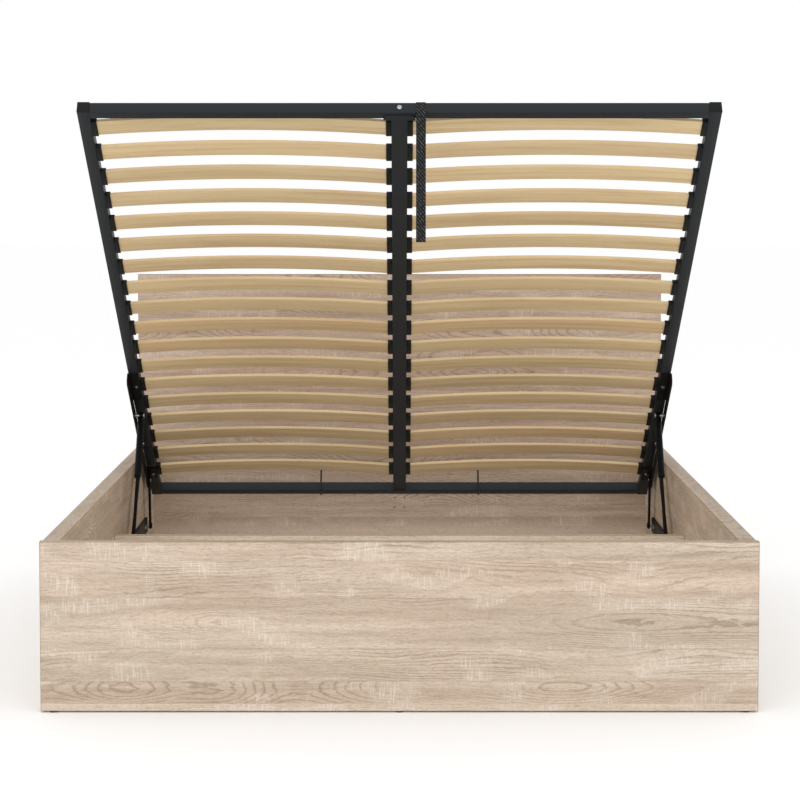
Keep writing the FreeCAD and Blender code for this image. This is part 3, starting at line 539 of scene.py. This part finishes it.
def make_speckle_group():
    """Fine unevenness of a coated, moulded or plated surface."""
    inputs = [(VECTOR, "Place"), (COLOUR, "Colour"), (VALUE, "Grain", "Spread", "Low", "High")]
    net, given, result = open_tree("speckle", SHADING, inputs, SURFACE)
    feeds = {"Vector": given["Place"], "Scale": given["Grain"], "Detail": 2.0}
    grains = net.first("ShaderNodeTexNoise", feeds)
    patches = net.noise(given["Place"], (9, 9, 9), 3.0)
    lift = net.times(net.off_middle(grains), given["Spread"])
    drift = net.times(net.off_middle(patches), given["Spread"])
    shade = net.plus(1.0, net.plus(lift, drift))
    limits = {"From Min": 0.3, "From Max": 0.7, "To Min": given["Low"], "To Max": given["High"]}
    rough = net.first("ShaderNodeMapRange", {"Value": patches, **limits})
    colour = net.scaled(given["Colour"], shade)
    net.feed(result, {"Colour": colour, "Roughness": rough, "Height": grains})


def new_material(name):
    """Net and shader of a new material."""
    made = bpy.data.materials.new(name)
    made.use_nodes = True
    tree = made.node_tree
    return Net(tree), tree.nodes["Principled BSDF"]


def feed_shader(net, shader, colour, roughness, gloss, height, strength, depth):
    """Feed a shader its colour, roughness and gloss, and the bump of a height."""
    bump = {"Height": height, "Strength": strength, "Distance": depth}
    normal = net.first("ShaderNodeBump", bump)
    net.feed(shader.inputs, {
        "Base Color": colour, "Roughness": roughness, "Specular IOR Level": gloss, "Normal": normal})


def make_oak(node, way, seed, light, plank=NO_PLANK, plank_light=PLANK_LIGHT, shade=0.0, blush=0.0):
    """Oak finish of one board whose grain runs along X or Y.

    The plank under a height is lighter, with a painted shade under its upper edge, and a blush reddens
    the wood.
    """
    colours = bpy.context.scene.bed_colours
    net, shader = new_material("oak_" + node)
    place = net.add("ShaderNodeTexCoord").outputs["Object"]
    axes = net.axes(place)
    order = (0, 2, 1) if way == "X" else (1, 2, 0)
    turned = net.vector(*[axes[axis] for axis in order])
    oak = net.group("oak_decor", {
        "Place": turned, "Light": light, "Dark": colours.oak_dark, "Seed": seed,
        "Last plank": plank, "Last light": plank_light, "Last shade": shade})
    low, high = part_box(node)
    edges = net.group("board_edges", {
        "Place": place, "Middle": (low + high) / 2, "Half": (high - low) / 2,
        "Width": bpy.context.scene.bed_sizes.band_joint})
    # Painted shade: the boards' top edges are darkened for the light that reaches them less; the joint lines
    # are the band's own dark joints
    top = net.math("GREATER_THAN", axes[2], high.z - SAME_POINT)
    joint = net.times(edges["Edge"], JOINT_SHARE)
    dark = net.math("MAXIMUM", joint, net.times(top, TOP_SHADE_SHARE))
    colour = net.blended(blush, oak["Colour"], BLUSH, "MULTIPLY")
    colour = net.blended(dark, colour, colours.oak_dark[:])
    # The core inside the holes is darkened nearly to black as painted shade
    colour = net.blended(edges["Core"], colour, colours.core_with_hole_shade[:])
    feed_shader(net, shader, colour, oak["Roughness"], 0.3, oak["Height"], 0.35, 0.4 * MM)


def make_birch():
    """Laminated birch slats, each with a shade and a grain of its own."""
    colours = bpy.context.scene.bed_colours
    dark = colours.birch_dark[:]
    net, shader = new_material("birch_slat")
    place = net.add("ShaderNodeAttribute", attribute_name="slat_place").outputs["Vector"]
    number = net.add("ShaderNodeAttribute", attribute_name="slat_number").outputs["Fac"]
    luck = net.add("ShaderNodeTexWhiteNoise", {"W": number}, noise_dimensions="1D").outputs
    wood = net.join("ADD", place, net.join("MULTIPLY", luck["Color"], SLAT_JUMP))
    masks = net.layers(wood, BIRCH_LAYERS)
    axes = net.axes(place)
    half = bpy.context.scene.bed_sizes.slat_width / 2
    rim = net.ramp(net.math("ABSOLUTE", axes[1]), half - RIM_START, half - RIM_END)
    ply = net.ramp(net.math("FRACT", net.times(axes[2], PLIES)), 0.35, 0.6)
    colour = colours.birch_light[:]
    for name, share in BIRCH_STAINS:
        colour = net.stained(colour, masks[name], share, dark)
    colour = net.stained(colour, masks["fleck"], 0.35, FLECK_BROWN)
    colour = net.stained(colour, masks["wave"], 0.12, WAVE_TINT, "MULTIPLY")
    colour = net.stained(colour, net.times(rim, ply), 0.4, dark)
    warmth = net.add("ShaderNodeSeparateColor", {0: luck["Color"]}).outputs[1]
    colour = net.blended(net.ramp(warmth, 0.45, 1.0, 0.0, 0.8), colour, SLAT_WARM, "MULTIPLY")
    shade = net.first("ShaderNodeMapRange", {"Value": luck["Value"], "To Min": 0.92, "To Max": 1.05})
    rough = net.ramp(masks["fine"], 0.0, 1.0, 0.42, 0.58)
    feed_shader(net, shader, net.scaled(colour, shade), rough, 0.35, masks["fine"], 0.15, 0.2 * MM)


def make_plain(name, colour, grain, spread, low, high, relief, metal, gloss):
    """Plain finish with fine unevenness: coat, plastic, plating or hardboard."""
    net, shader = new_material(name)
    place = net.add("ShaderNodeTexCoord").outputs["Object"]
    speckle = net.group("speckle", {
        "Place": place, "Colour": getattr(bpy.context.scene.bed_colours, colour),
        "Grain": grain, "Spread": spread, "Low": low, "High": high})
    shader.inputs["Metallic"].default_value = metal
    rough = speckle["Roughness"]
    feed_shader(net, shader, speckle["Colour"], rough, gloss, speckle["Height"], relief, 0.1 * MM)


def make_webbing():
    """Twill webbing: slanted ribs across the width, along the piece's own map."""
    colours = bpy.context.scene.bed_colours
    net, shader = new_material("strap_webbing")
    place = net.first("ShaderNodeUVMap", uv_map="weave")
    axes = net.axes(place)
    slant = net.math("SUBTRACT", net.times(axes[0], RIBS_ACROSS), net.times(axes[1], RIBS_ALONG))
    rib = net.times(net.math("PINGPONG", slant, 0.5), 2.0)
    yarn = net.math("PINGPONG", net.times(axes[0], YARNS_ACROSS), 0.5)
    weft = net.math("PINGPONG", net.times(axes[1], YARNS_ALONG), 0.5)
    weave = net.plus(rib, net.times(net.times(yarn, weft), 0.8))
    worn = net.ramp(net.noise(place, WEAR_SCALE), 0.4, 0.6, 0.08, 1.0)
    share = net.times(net.ramp(weave, 0.55, 0.95), worn)
    colour = net.blended(share, colours.webbing[:], colours.webbing_rib[:])
    rough = net.ramp(weave, 0.0, 1.2, 0.92, 0.75)
    shader.inputs["Sheen Weight"].default_value = 0.05
    feed_shader(net, shader, colour, rough, 0.15, weave, 0.7, 0.5 * MM)


def new_object(name, data):
    """Object in the scene, at the origin."""
    made = bpy.data.objects.new(name, data)
    bpy.context.scene.collection.objects.link(made)
    return made


def coat(mesh, finish):
    """Give a mesh one finish that was made earlier."""
    mesh.materials.clear()
    mesh.materials.append(bpy.data.materials[finish])


def new_piece(name, mesh, finish, body, slot):
    """Finished piece at the origin, riding on a body."""
    piece = new_object(name, mesh)
    coat(mesh, finish)
    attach(piece, body)
    return piece


def dress(nodes, finish):
    """Give CAD nodes that keep their shape a better finish."""
    for node in nodes:
        coat(NODES[node].data, finish)


def smoothed(mesh):
    """Shade a mesh smooth, with its sharp edges kept."""
    mesh.polygons.foreach_set("use_smooth", [True] * len(mesh.polygons))
    mesh.set_sharp_from_angle(angle=SHARP_ANGLE)
    return mesh


def to_mesh(name, bm):
    """Plain mesh of a finished bmesh."""
    mesh = bpy.data.meshes.new(name)
    bm.to_mesh(mesh)
    bm.free()
    return smoothed(mesh)


def stand_in(node, bm, finish):
    """Piece that stands for a CAD node, on the node's body."""
    name = node + "_dressed"
    piece = new_piece(name, to_mesh(name, bm), finish, NODES[node]["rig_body"], SLOTS[node])
    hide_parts(node)


def welded(node):
    """Bmesh of a CAD node with its doubled points joined."""
    bm = bmesh.new()
    bm.from_mesh(NODES[node].data)
    bmesh.ops.remove_doubles(bm, verts=bm.verts, dist=SAME_POINT)
    return bm


def rounded_copy(kind, side, radius, finish, segments=3):
    """Copy of a CAD node with its sharp edges rounded, which stands for the node."""
    node = kind + "_" + side
    bm = welded(node)
    bmesh.ops.dissolve_limit(bm, angle_limit=FLAT_ANGLE, verts=bm.verts, edges=bm.edges)
    sharp = [edge for edge in bm.edges if edge.is_manifold and edge.calc_face_angle() > EDGE_ANGLE]
    edges = [edge for edge in sharp if edge.calc_length() > SHORTEST[kind]]
    bmesh.ops.bevel(bm, geom=edges, offset=radius, offset_type="OFFSET", segments=segments, profile=0.5,
                    affect="EDGES", clamp_overlap=False)
    stand_in(node, bm, finish)


def circle(angle):
    """Radius of a circle."""
    return 1


def hexagon(angle):
    """Radius of a hexagon with unit distance to its flats."""
    sixth = math.pi / 3
    return 1 / math.cos((angle + sixth / 2) % sixth - sixth / 2)


def cross_slot(angle):
    """Radius of a cross recess."""
    return 0.4 + 0.6 * abs(math.cos(2 * angle)) ** 3


# Fasteners: radius and height in millimetres and outline of each ring
BUTTON_HEAD = (
    (6.5, 0, circle), (6.5, 0.8, circle), (6.1, 2.0, circle), (5.3, 3.0, circle), (4.3, 3.6, circle),
    (3.6, 3.9, circle), (2.5, 3.9, hexagon), (2.5, 1.6, hexagon))
HEXAGON_NUT = (
    (5.6, 0, hexagon), (5.6, 3.2, hexagon), (5.2, 4.0, circle), (3.3, 4.0, circle), (3.3, 3.4, circle))
PAN_HEAD = (
    (6, 0, circle), (6, 0.6, circle), (5.3, 1.6, circle), (4.0, 2.2, circle), (3.2, 2.4, circle),
    (2.6, 2.4, cross_slot), (2.2, 1.0, cross_slot))


def ring(radius, height, count=24, outline=circle):
    """Ring of points round Z, with a radius and a height in millimetres and an outline."""
    points = []
    for index in range(count):
        angle = 2 * math.pi * index / count
        reach = radius * MM * outline(angle)
        points.append(Vector((reach * math.cos(angle), reach * math.sin(angle), height * MM)))
    return points


def loft(bm, rings, turn=Matrix(), closed=False):
    """Skin over rings of points, with its ends capped or the last ring joined to the first."""
    rows = [[bm.verts.new(turn @ point) for point in points] for points in rings]
    pairs = list(zip(rows, rows[1:]))
    if closed:
        pairs.append((rows[-1], rows[0]))
    count = len(rows[0])
    for low, high in pairs:
        for index in range(count):
            after = (index + 1) % count
            bm.faces.new((low[index], low[after], high[after], high[index]))
    if not closed:
        bm.faces.new(list(reversed(rows[0])))
        bm.faces.new(rows[-1])


def lathe(bm, profile, turn, closed=False):
    """Turned shape from pairs of a height along Z and a radius in millimetres."""
    loft(bm, [ring(radius, height, LATHE_POINTS) for height, radius in profile], turn, closed)


def fastener(name, rings):
    """Mesh of a bolt's or screw's head or of a nut."""
    bm = bmesh.new()
    loft(bm, [ring(radius, height, outline=outline) for radius, height, outline in rings])
    return to_mesh(name, bm)


def along(start, direction):
    """Placement with its Z axis along a direction."""
    turn = direction.to_track_quat("Z", "Y").to_matrix().to_4x4()
    return Matrix.Translation(start) @ turn


def islands(node, turn=Matrix()):
    """Lowest and highest corners of each loose piece of a CAD node, in a turned frame."""
    bm = welded(node)
    bm.transform(turn)
    left = set(bm.verts)
    boxes = []
    for start in bm.verts:
        if start not in left:
            continue
        left.remove(start)
        front = [start]
        found = [start]
        while front:
            vert = front.pop()
            for edge in vert.link_edges:
                other = edge.other_vert(vert)
                if other in left:
                    left.remove(other)
                    front.append(other)
                    found.append(other)
        low = Vector([min(vert.co[axis] for vert in found) for axis in range(3)])
        high = Vector([max(vert.co[axis] for vert in found) for axis in range(3)])
        boxes.append((low, high))
    bm.free()
    return boxes


def rounded_rectangle(width, height, radius, place, cuts=4):
    """Ring of points round Z on a rectangle with rounded corners."""
    points = []
    for corner, (right, up) in enumerate(((1, 1), (-1, 1), (-1, -1), (1, -1))):
        middle = Vector((right * (width / 2 - radius), up * (height / 2 - radius), place))
        for step in range(cuts):
            angle = (corner + step / (cuts - 1)) * math.pi / 2
            points.append(middle + radius * Vector((math.cos(angle), math.sin(angle), 0)))
    return points


def square_tube(node, radius, wall, finish):
    """Hollow tube with rounded corners, which stands for a plain tube of the slat frame."""
    low, high = islands(node, FRAME_TURN.inverted())[0]
    size = high - low
    way = RIGHT if size.x > size.y else AHEAD
    length = max(size.x, size.y)
    width = min(size.x, size.y)
    inner = max(radius - wall, INNER_SHARE * wall)
    rings = [rounded_rectangle(width, size.z, radius, place) for place in (0, length)]
    for place in (length, 0):
        rings.append(rounded_rectangle(width - 2 * wall, size.z - 2 * wall, inner, place))
    bm = bmesh.new()
    loft(bm, rings, FRAME_TURN @ along((low + high - way * length) / 2, way), closed=True)
    bmesh.ops.recalc_face_normals(bm, faces=bm.faces)
    stand_in(node, bm, finish)


def finish_tree(net, result, points, given):
    """Turn instances into one mesh with the given finish and hand it out."""
    made = net.first("GeometryNodeRealizeInstances", {"Geometry": points})
    made = net.first("GeometryNodeSetMaterial", {"Geometry": made, "Material": given["Finish"]})
    net.feed(result, {"Geometry": made})


def grown(name, tree, values, source=None):
    """Plain mesh that a geometry tree makes from its named values."""
    mesh = source or bpy.data.meshes.new(name + "_seed")
    maker = new_object(name + "_maker", mesh)
    modifier = maker.modifiers.new(name, "NODES")
    modifier.node_group = bpy.data.node_groups[tree]
    for item in modifier.node_group.interface.items_tree:
        if item.in_out == "INPUT" and item.name in values:
            modifier[item.identifier] = values[item.name]
    seen = maker.evaluated_get(bpy.context.evaluated_depsgraph_get())
    result = bpy.data.meshes.new_from_object(seen)
    maker.modifiers.clear()
    bpy.data.objects.remove(maker)
    result.name = name
    return result


def make_slat_tree():
    """Rows of bowed slats with rounded edges, two in a row, on the frame laid flat."""
    inputs = [(VALUE, "Length", "Width", "Thickness", "Bow", "Edge", "Middle", "Start", "Pitch", "Seat"),
              ("NodeSocketInt", "Rows", "Cuts"), ("NodeSocketMaterial", "Finish")]
    net, given, result = open_tree("bowed_slats", SHAPING, inputs, SHAPE)
    half = net.times(given["Length"], 0.5)
    ends = {"Start": net.vector(net.times(half, -1.0)), "End": net.vector(half)}
    line = net.first("GeometryNodeCurvePrimitiveLine", ends)
    line = net.first("GeometryNodeResampleCurve", {"Curve": line, "Count": given["Cuts"]})
    size = {"Width": given["Width"], "Height": given["Thickness"]}
    section = net.first("GeometryNodeCurvePrimitiveQuadrilateral", size)
    corner = {"Curve": section, "Radius": given["Edge"], "Count": 3}
    section = net.first("GeometryNodeFilletCurve", corner, mode="POLY")
    sweep = {"Curve": line, "Profile Curve": section, "Fill Caps": True}
    slat = net.first("GeometryNodeCurveToMesh", sweep)
    place = net.first("GeometryNodeInputPosition")
    kept = {"Geometry": slat, "Name": "slat_place", "Value": place}
    slat = net.first("GeometryNodeStoreNamedAttribute", kept, data_type="FLOAT_VECTOR", domain="POINT")
    reach = net.math("DIVIDE", net.axes(place)[0], half)
    rise = net.times(net.math("SUBTRACT", 1.0, net.math("POWER", reach, 2.0)), given["Bow"])
    rise = net.plus(rise, net.times(given["Thickness"], 0.5))
    slat = net.first("GeometryNodeSetPosition", {"Geometry": slat, "Offset": net.vector(z=rise)})
    join = net.add("GeometryNodeJoinGeometry")
    step = net.vector(y=given["Pitch"])
    for side in (-1.0, 1.0):
        start = net.vector(net.times(given["Middle"], side), given["Start"], given["Seat"])
        row = {"Count": given["Rows"], "Start Location": start, "Offset": step}
        net.feed(join.inputs, {0: net.first("GeometryNodeMeshLine", row)})
    slats = net.first("GeometryNodeInstanceOnPoints", {"Points": join.outputs[0], "Instance": slat})
    kept = {"Geometry": slats, "Name": "slat_number", "Value": net.first("GeometryNodeInputIndex")}
    slats = net.first("GeometryNodeStoreNamedAttribute", kept, data_type="FLOAT", domain="INSTANCE")
    finish_tree(net, result, slats, given)


def make_fastener_tree():
    """One fastener shape set on points, each turned to face its own way."""
    inputs = [(GEOMETRY, "Points"), ("NodeSocketObject", "Fastener"), ("NodeSocketMaterial", "Finish")]
    net, given, result = open_tree("set_fasteners", SHAPING, inputs, SHAPE)
    facing = net.first("GeometryNodeInputNamedAttribute", {"Name": "facing"}, data_type="FLOAT_VECTOR")
    turn = net.first("FunctionNodeAlignRotationToVector", {"Vector": facing}, axis="Z")
    shape = net.add("GeometryNodeObjectInfo", {"Object": given["Fastener"]}).outputs["Geometry"]
    feeds = {"Points": given["Points"], "Instance": shape, "Rotation": turn}
    finish_tree(net, result, net.first("GeometryNodeInstanceOnPoints", feeds), given)


def set_fasteners(name, shape, places, finish):
    """Mesh of one fastener shape at places given as points and facings."""
    points = bpy.data.meshes.new(name + "_points")
    points.from_pydata([point for point, way in places], [], [])
    facing = points.attributes.new("facing", "FLOAT_VECTOR", "POINT")
    facing.data.foreach_set("vector", [number for point, way in places for number in way])
    master = new_object(name + "_shape", shape)
    values = {"Fastener": master, "Finish": bpy.data.materials[finish]}
    mesh = grown(name, "set_fasteners", values, points)
    bpy.data.objects.remove(master)
    return smoothed(mesh)


def woven(name, route, middle_x, width, thick):
    """Flat ribbon with rounded selvedges along a route in a YZ plane, and its length."""
    bm = bmesh.new()
    layer = bm.loops.layers.uv.new("weave")
    rows = []
    runs = [0.0]
    for index, point in enumerate(route):
        ahead = route[min(index + 1, len(route) - 1)]
        behind = route[max(index - 1, 0)]
        out = RIGHT.cross((ahead - behind).normalized())
        rows.append([bm.verts.new(point + Vector((middle_x + u * width, 0, 0)) + out * v * thick)
                     for u, v in WEB_PROFILE])
        if index:
            runs.append(runs[-1] + (point - behind).length)
    count = len(WEB_PROFILE)
    for index in range(len(rows) - 1):
        for spot in range(count):
            after = (spot + 1) % count
            corners = ((index, spot), (index, after), (index + 1, after), (index + 1, spot))
            face = bm.faces.new([rows[run][place] for run, place in corners])
            for loop, (run, place) in zip(face.loops, corners):
                loop[layer].uv = (WEB_PROFILE[place][0] * width, runs[run])
    bm.faces.new(list(reversed(rows[0])))
    bm.faces.new(rows[-1])
    bmesh.ops.recalc_face_normals(bm, faces=bm.faces)
    return to_mesh(name, bm), runs[-1]


def bar_bend(corner, before, after):
    """Points of the strap round one corner of the foot bar, between the ways to its neighbours."""
    middle = [corner[axis] + STRAP_BEND * (before[axis] + after[axis]) for axis in range(2)]
    points = []
    for step in range(BEND_STEPS + 1):
        angle = step / BEND_STEPS * math.pi / 2
        out = [-after[axis] * math.cos(angle) - before[axis] * math.sin(angle) for axis in range(2)]
        y, z = [middle[axis] + STRAP_BEND * out[axis] for axis in range(2)]
        points.append(FRAME_TURN @ Vector((0, y, z)))
    return points


def strap_route(sizes, low, high, hang_y, hang_z):
    """Middle line of the strap: sewn overlap, loop round the foot bar, hanging tail and hem."""
    back = STRAP_LAYER * sizes.strap_thick
    end_z = hang_z - sizes.strap_tail
    start_z = hang_z - STRAP_START
    route = [
        Vector((0, hang_y + back, hang_z - STRAP_SEWN)),
        Vector((0, hang_y + back, hang_z - STRAP_SEWN / 2)),
        Vector((0, hang_y + back * STRAP_SPREAD, hang_z - STRAP_TUCK)),
    ]
    route += bar_bend((high.y, low.z), (-1, 0), (0, 1))
    route += bar_bend((high.y, high.z), (0, -1), (-1, 0))
    route += bar_bend((low.y, high.z), (1, 0), (0, -1))
    route.append(FRAME_TURN @ Vector((0, low.y, low.z + STRAP_TUCK)))
    for step in range(TAIL_STEPS + 1):
        route.append(Vector((0, hang_y, start_z - (sizes.strap_tail - STRAP_START) * step / TAIL_STEPS)))
    for step in range(1, BEND_STEPS + 1):
        angle = step / BEND_STEPS * math.pi
        fold = Vector((0, 1 - math.cos(angle), -math.sin(angle))) * back / 2
        route.append(Vector((0, hang_y, end_z)) + fold)
    for share in (0.5, 1):
        route.append(Vector((0, hang_y + back, end_z + sizes.strap_hem * share)))
    return route


class MakeFinishes(bpy.types.Operator):
    """Make every finish of the bed"""

    bl_idname = "bed.make_finishes"
    bl_label = "Finishes"

    def execute(self, context):
        colours = context.scene.bed_colours
        make_oak_group()
        make_speckle_group()
        make_edge_group()
        make_oak("footboard", "X", 0.7, colours.oak_light, FOOT_PLANK)
        make_oak("headboard", "X", 4.3, colours.oak_light, HEAD_PLANK, HEAD_LIGHT, HEAD_SHADE, HEAD_BLUSH)
        # Painted light: the divider is lightened all over for the light that falls on its front
        make_oak("cross_divider", "X", 9.1, colours.divider_oak_painted_light, WHOLE_DIVIDER_LIT)
        make_oak("side_panel_left", "Y", 0.4, colours.oak_light)
        make_oak("side_panel_right", "Y", 6.2, colours.oak_light)
        make_birch()
        make_webbing()
        for name, values in PLAIN_FINISHES.items():
            make_plain(name, *values)
        make_slat_tree()
        make_fastener_tree()
        return {"FINISHED"}


class DressBoards(bpy.types.Operator):
    """Give the boards, the storage floor and the glides their finishes"""

    bl_idname = "bed.dress_boards"
    bl_label = "Boards and floor"

    def execute(self, context):
        for board in ("footboard", "headboard", "cross_divider", "side_panel_left", "side_panel_right"):
            dress([board], "oak_" + board)
        dress(["floor_panel_foot", "floor_panel_head"], "hardboard")
        dress(["glides_foot", "glides_head"], "black_plastic")
        return {"FINISHED"}


class DressFrame(bpy.types.Operator):
    """Round the tubes, bars, brackets and caps of the slat frame"""

    bl_idname = "bed.dress_frame"
    bl_label = "Tubes and bars"

    def execute(self, context):
        sizes = context.scene.bed_sizes
        for node in ("frame_tube_left", "frame_tube_right", "foot_crossbar", "head_crossbar", "centre_beam"):
            square_tube(node, sizes.tube_round, sizes.tube_wall, "frame_coat")
        for end in ("foot", "head"):
            rounded_copy("beam_bracket", end, sizes.sheet_round, "frame_coat")
        for side in SIDES:
            rounded_copy("end_caps", side, sizes.plastic_round, "black_plastic")
        dress(["mattress_stops"], "frame_coat")
        return {"FINISHED"}


class MakeSlats(bpy.types.Operator):
    """Make the bowed slats"""

    bl_idname = "bed.make_slats"
    bl_label = "Slats"

    def execute(self, context):
        sizes = context.scene.bed_sizes
        pitch = (FRAME_LENGTH - sizes.first_row - sizes.last_row) / (SLAT_ROWS - 1)
        values = {
            "Length": sizes.slat_length, "Width": sizes.slat_width, "Thickness": sizes.slat_thick,
            "Bow": sizes.slat_bow, "Edge": sizes.slat_round, "Middle": sizes.slat_middle,
            "Start": sizes.first_row - FRAME_LENGTH, "Pitch": pitch, "Seat": sizes.slat_seat,
            "Rows": SLAT_ROWS, "Cuts": sizes.slat_cuts, "Finish": bpy.data.materials["birch_slat"],
        }
        mesh = grown("slats", "bowed_slats", values)
        mesh.transform(FRAME_TURN)
        slats = new_piece("slats", smoothed(mesh), "birch_slat", "slat_frame", "slat_birch")
        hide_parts(*["slat_row_%02d" % (number + 1) for number in range(SLAT_ROWS)])
        return {"FINISHED"}


class DressHolders(bpy.types.Operator):
    """Round the slat holders"""

    bl_idname = "bed.dress_holders"
    bl_label = "Slat holders"

    def execute(self, context):
        for side in SIDES + ("beam",):
            rounded_copy("holders", side, context.scene.bed_sizes.plastic_round, "black_plastic", 2)
        return {"FINISHED"}


class DressLift(bpy.types.Operator):
    """Round the rails and arms of the lift and dress its pins"""

    bl_idname = "bed.dress_lift"
    bl_label = "Rails and arms"

    def execute(self, context):
        edge = context.scene.bed_sizes.sheet_round
        for side in SIDES:
            for kind, segments in (("upper_rail", 3), ("base_rail", 3), ("front_arm", 2), ("rear_arm", 2)):
                rounded_copy(kind, side, edge, "lift_coat", segments)
            dress(["frame_pins_" + side, "box_pins_" + side], "zinc")
        return {"FINISHED"}


class MakeGasSprings(bpy.types.Operator):
    """Turn the gas springs' cylinders and dress their rods"""

    bl_idname = "bed.make_gas_springs"
    bl_label = "Gas springs"

    def execute(self, context):
        top = Vector(JOINTS["gas_cylinders"]["pos_m"])
        axis = Vector(JOINTS["gas_rods"]["axis"])
        for side, x in zip(SIDES, (-SPRING_X, SPRING_X)):
            start = Vector((x, top.y, top.z))
            node = "gas_cylinder_" + side
            name = node + "_turned"
            bm = bmesh.new()
            lathe(bm, EYE_PROFILE, along(start, RIGHT), closed=True)
            lathe(bm, BARREL_PROFILE, along(start, axis))
            bmesh.ops.recalc_face_normals(bm, faces=bm.faces)
            piece = new_piece(name, to_mesh(name, bm), "cylinder_lacquer", "gas_cylinders", "cylinder_steel")
            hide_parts(node)
            dress(["gas_rod_" + side], "dark_rod")
        return {"FINISHED"}


class MakeFasteners(bpy.types.Operator):
    """Set the bolts of the frame and the screws of the base rails"""

    bl_idname = "bed.make_fasteners"
    bl_label = "Bolts and screws"

    def execute(self, context):
        turn = FRAME_TURN.to_3x3()
        heads = []
        nuts = []
        for low, high in islands("frame_bolts", FRAME_TURN.inverted()):
            middle = (low + high) / 2
            size = high - low
            way = -UP
            seat = size.z / 2 - BOLT_HEAD
            if size.y > size.z:
                way = -AHEAD if middle.y < -FRAME_LENGTH / 2 else AHEAD
                seat = size.y / 2 - BOLT_HEAD
            heads.append((FRAME_TURN @ (middle + way * seat), turn @ way))
            nuts.append((FRAME_TURN @ (middle - way * seat), turn @ -way))
        name = "frame_bolts_dressed"
        bm = bmesh.new()
        bm.from_mesh(set_fasteners("bolt_ends", fastener("button_head", BUTTON_HEAD), heads, "zinc"))
        bm.from_mesh(set_fasteners("bolt_ends", fastener("hexagon_nut", HEXAGON_NUT), nuts, "zinc"))
        bolts = new_piece(name, to_mesh(name, bm), "zinc", "slat_frame", "zinc_steel")
        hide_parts("frame_bolts")
        places = []
        for low, high in islands("base_screws"):
            way = -RIGHT if low.x > 0 else RIGHT
            middle = (low + high) / 2
            inner = low.x if low.x > 0 else high.x
            places.append((Vector((inner - way.x * SCREW_HEAD, middle.y, middle.z)), way))
        mesh = set_fasteners("base_screw_heads", fastener("pan_head", PAN_HEAD), places, "zinc")
        screws = new_piece("base_screws_dressed", mesh, "zinc", "box", "zinc_steel")
        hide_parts("base_screws")
        return {"FINISHED"}


class MakeStrap(bpy.types.Operator):
    """Weave the pull strap: a loop round the foot bar and a hanging tail with a hem"""

    bl_idname = "bed.make_strap"
    bl_label = "Pull strap"

    def execute(self, context):
        sizes = context.scene.bed_sizes
        loop_low, loop_high = islands("strap_loop", FRAME_TURN.inverted())[0]
        middle_x = (loop_low.x + loop_high.x) / 2
        skin = Vector((0, STRAP_SKIN, STRAP_SKIN))
        tail_low, tail_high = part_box("strap_tail")
        hang_y = (tail_low.y + tail_high.y) / 2
        hang_z = tail_high.z - STRAP_TOP
        route = strap_route(sizes, loop_low + skin, loop_high - skin, hang_y, hang_z)
        mesh, length = woven("pull_strap", route, middle_x, sizes.strap_width, sizes.strap_thick)
        strap = new_object("pull_strap", mesh)
        coat(mesh, "strap_webbing")
        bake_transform(strap)
        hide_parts("strap_loop", "strap_tail")
        return {"FINISHED"}


class SetStage(bpy.types.Operator):
    """Set the floor, the lights and the camera"""

    bl_idname = "bed.set_stage"
    bl_label = "Stage"

    def execute(self, context):
        scene = context.scene
        scene.view_settings.view_transform = "Standard"
        mesh = bpy.data.meshes.new("studio_floor")
        corners = ((-1, -1), (1, -1), (1, 1), (-1, 1))
        mesh.from_pydata([(x * FLOOR_REACH, y * FLOOR_REACH, 0) for x, y in corners], [], [(0, 1, 2, 3)])
        floor = new_object("studio_floor", mesh)
        net, shader = new_material("studio_floor")
        net.feed(shader.inputs, {"Base Color": scene.bed_colours.floor, "Roughness": FLOOR_ROUGH})
        coat(mesh, "studio_floor")

        world = bpy.data.worlds.new("studio")
        world.use_nodes = True
        backdrop = world.node_tree.nodes["Background"]
        backdrop.inputs["Color"].default_value = BACKDROP
        backdrop.inputs["Strength"].default_value = 1.0
        scene.world = world

        for name, place, size, power in LIGHTS:
            data = bpy.data.lights.new(name, "AREA")
            data.size = size
            data.energy = power
            light = new_object(name, data)
            light.location = place
            light.rotation_mode = "QUATERNION"
            light.rotation_quaternion = (LIGHT_AIM - Vector(place)).to_track_quat("-Z", "Y")

        data = bpy.data.cameras.new("camera")
        data.sensor_width = CAMERA_SENSOR
        data.lens = CAMERA_LENS
        data.shift_y = CAMERA_SHIFT
        data.dof.use_dof = False
        camera = new_object("camera", data)
        camera.location = CAMERA_PLACE
        camera.rotation_euler = (math.pi / 2 - CAMERA_PITCH, 0, 0)
        scene.camera = camera
        return {"FINISHED"}


class BedPanel(bpy.types.Panel):
    """Pieces of the bed in the order in which they are made."""

    bl_idname = "VIEW3D_PT_storage_bed"
    bl_label = "Storage bed"
    bl_space_type = "VIEW_3D"
    bl_region_type = "UI"
    bl_category = "Bed"

    def draw(self, context):
        for step in STEPS:
            self.layout.operator(step.bl_idname)
        for group in (context.scene.bed_sizes, context.scene.bed_colours):
            box = self.layout.box()
            for name in group.bl_rna.properties.keys():
                if name not in ("rna_type", "name"):
                    box.prop(group, name)


STEPS = (MakeFinishes, DressBoards, DressFrame, MakeSlats, DressHolders, DressLift, MakeGasSprings,
         MakeFasteners, MakeStrap, SetStage)
CLASSES = (BedSizes, BedColours) + STEPS + (BedPanel,)


def register():
    """Add the classes and the settings."""
    for item in CLASSES:
        bpy.utils.register_class(item)
    bpy.types.Scene.bed_sizes = PointerProperty(type=BedSizes)
    bpy.types.Scene.bed_colours = PointerProperty(type=BedColours)


def unregister():
    """Take the settings and the classes away."""
    del bpy.types.Scene.bed_colours
    del bpy.types.Scene.bed_sizes
    for item in reversed(CLASSES):
        bpy.utils.unregister_class(item)


def main():
    """Make the bed's looks."""
    register()
    for step in STEPS:
        group, name = step.bl_idname.split(".")
        getattr(getattr(bpy.ops, group), name)()


if __name__ == "__main__":
    main()
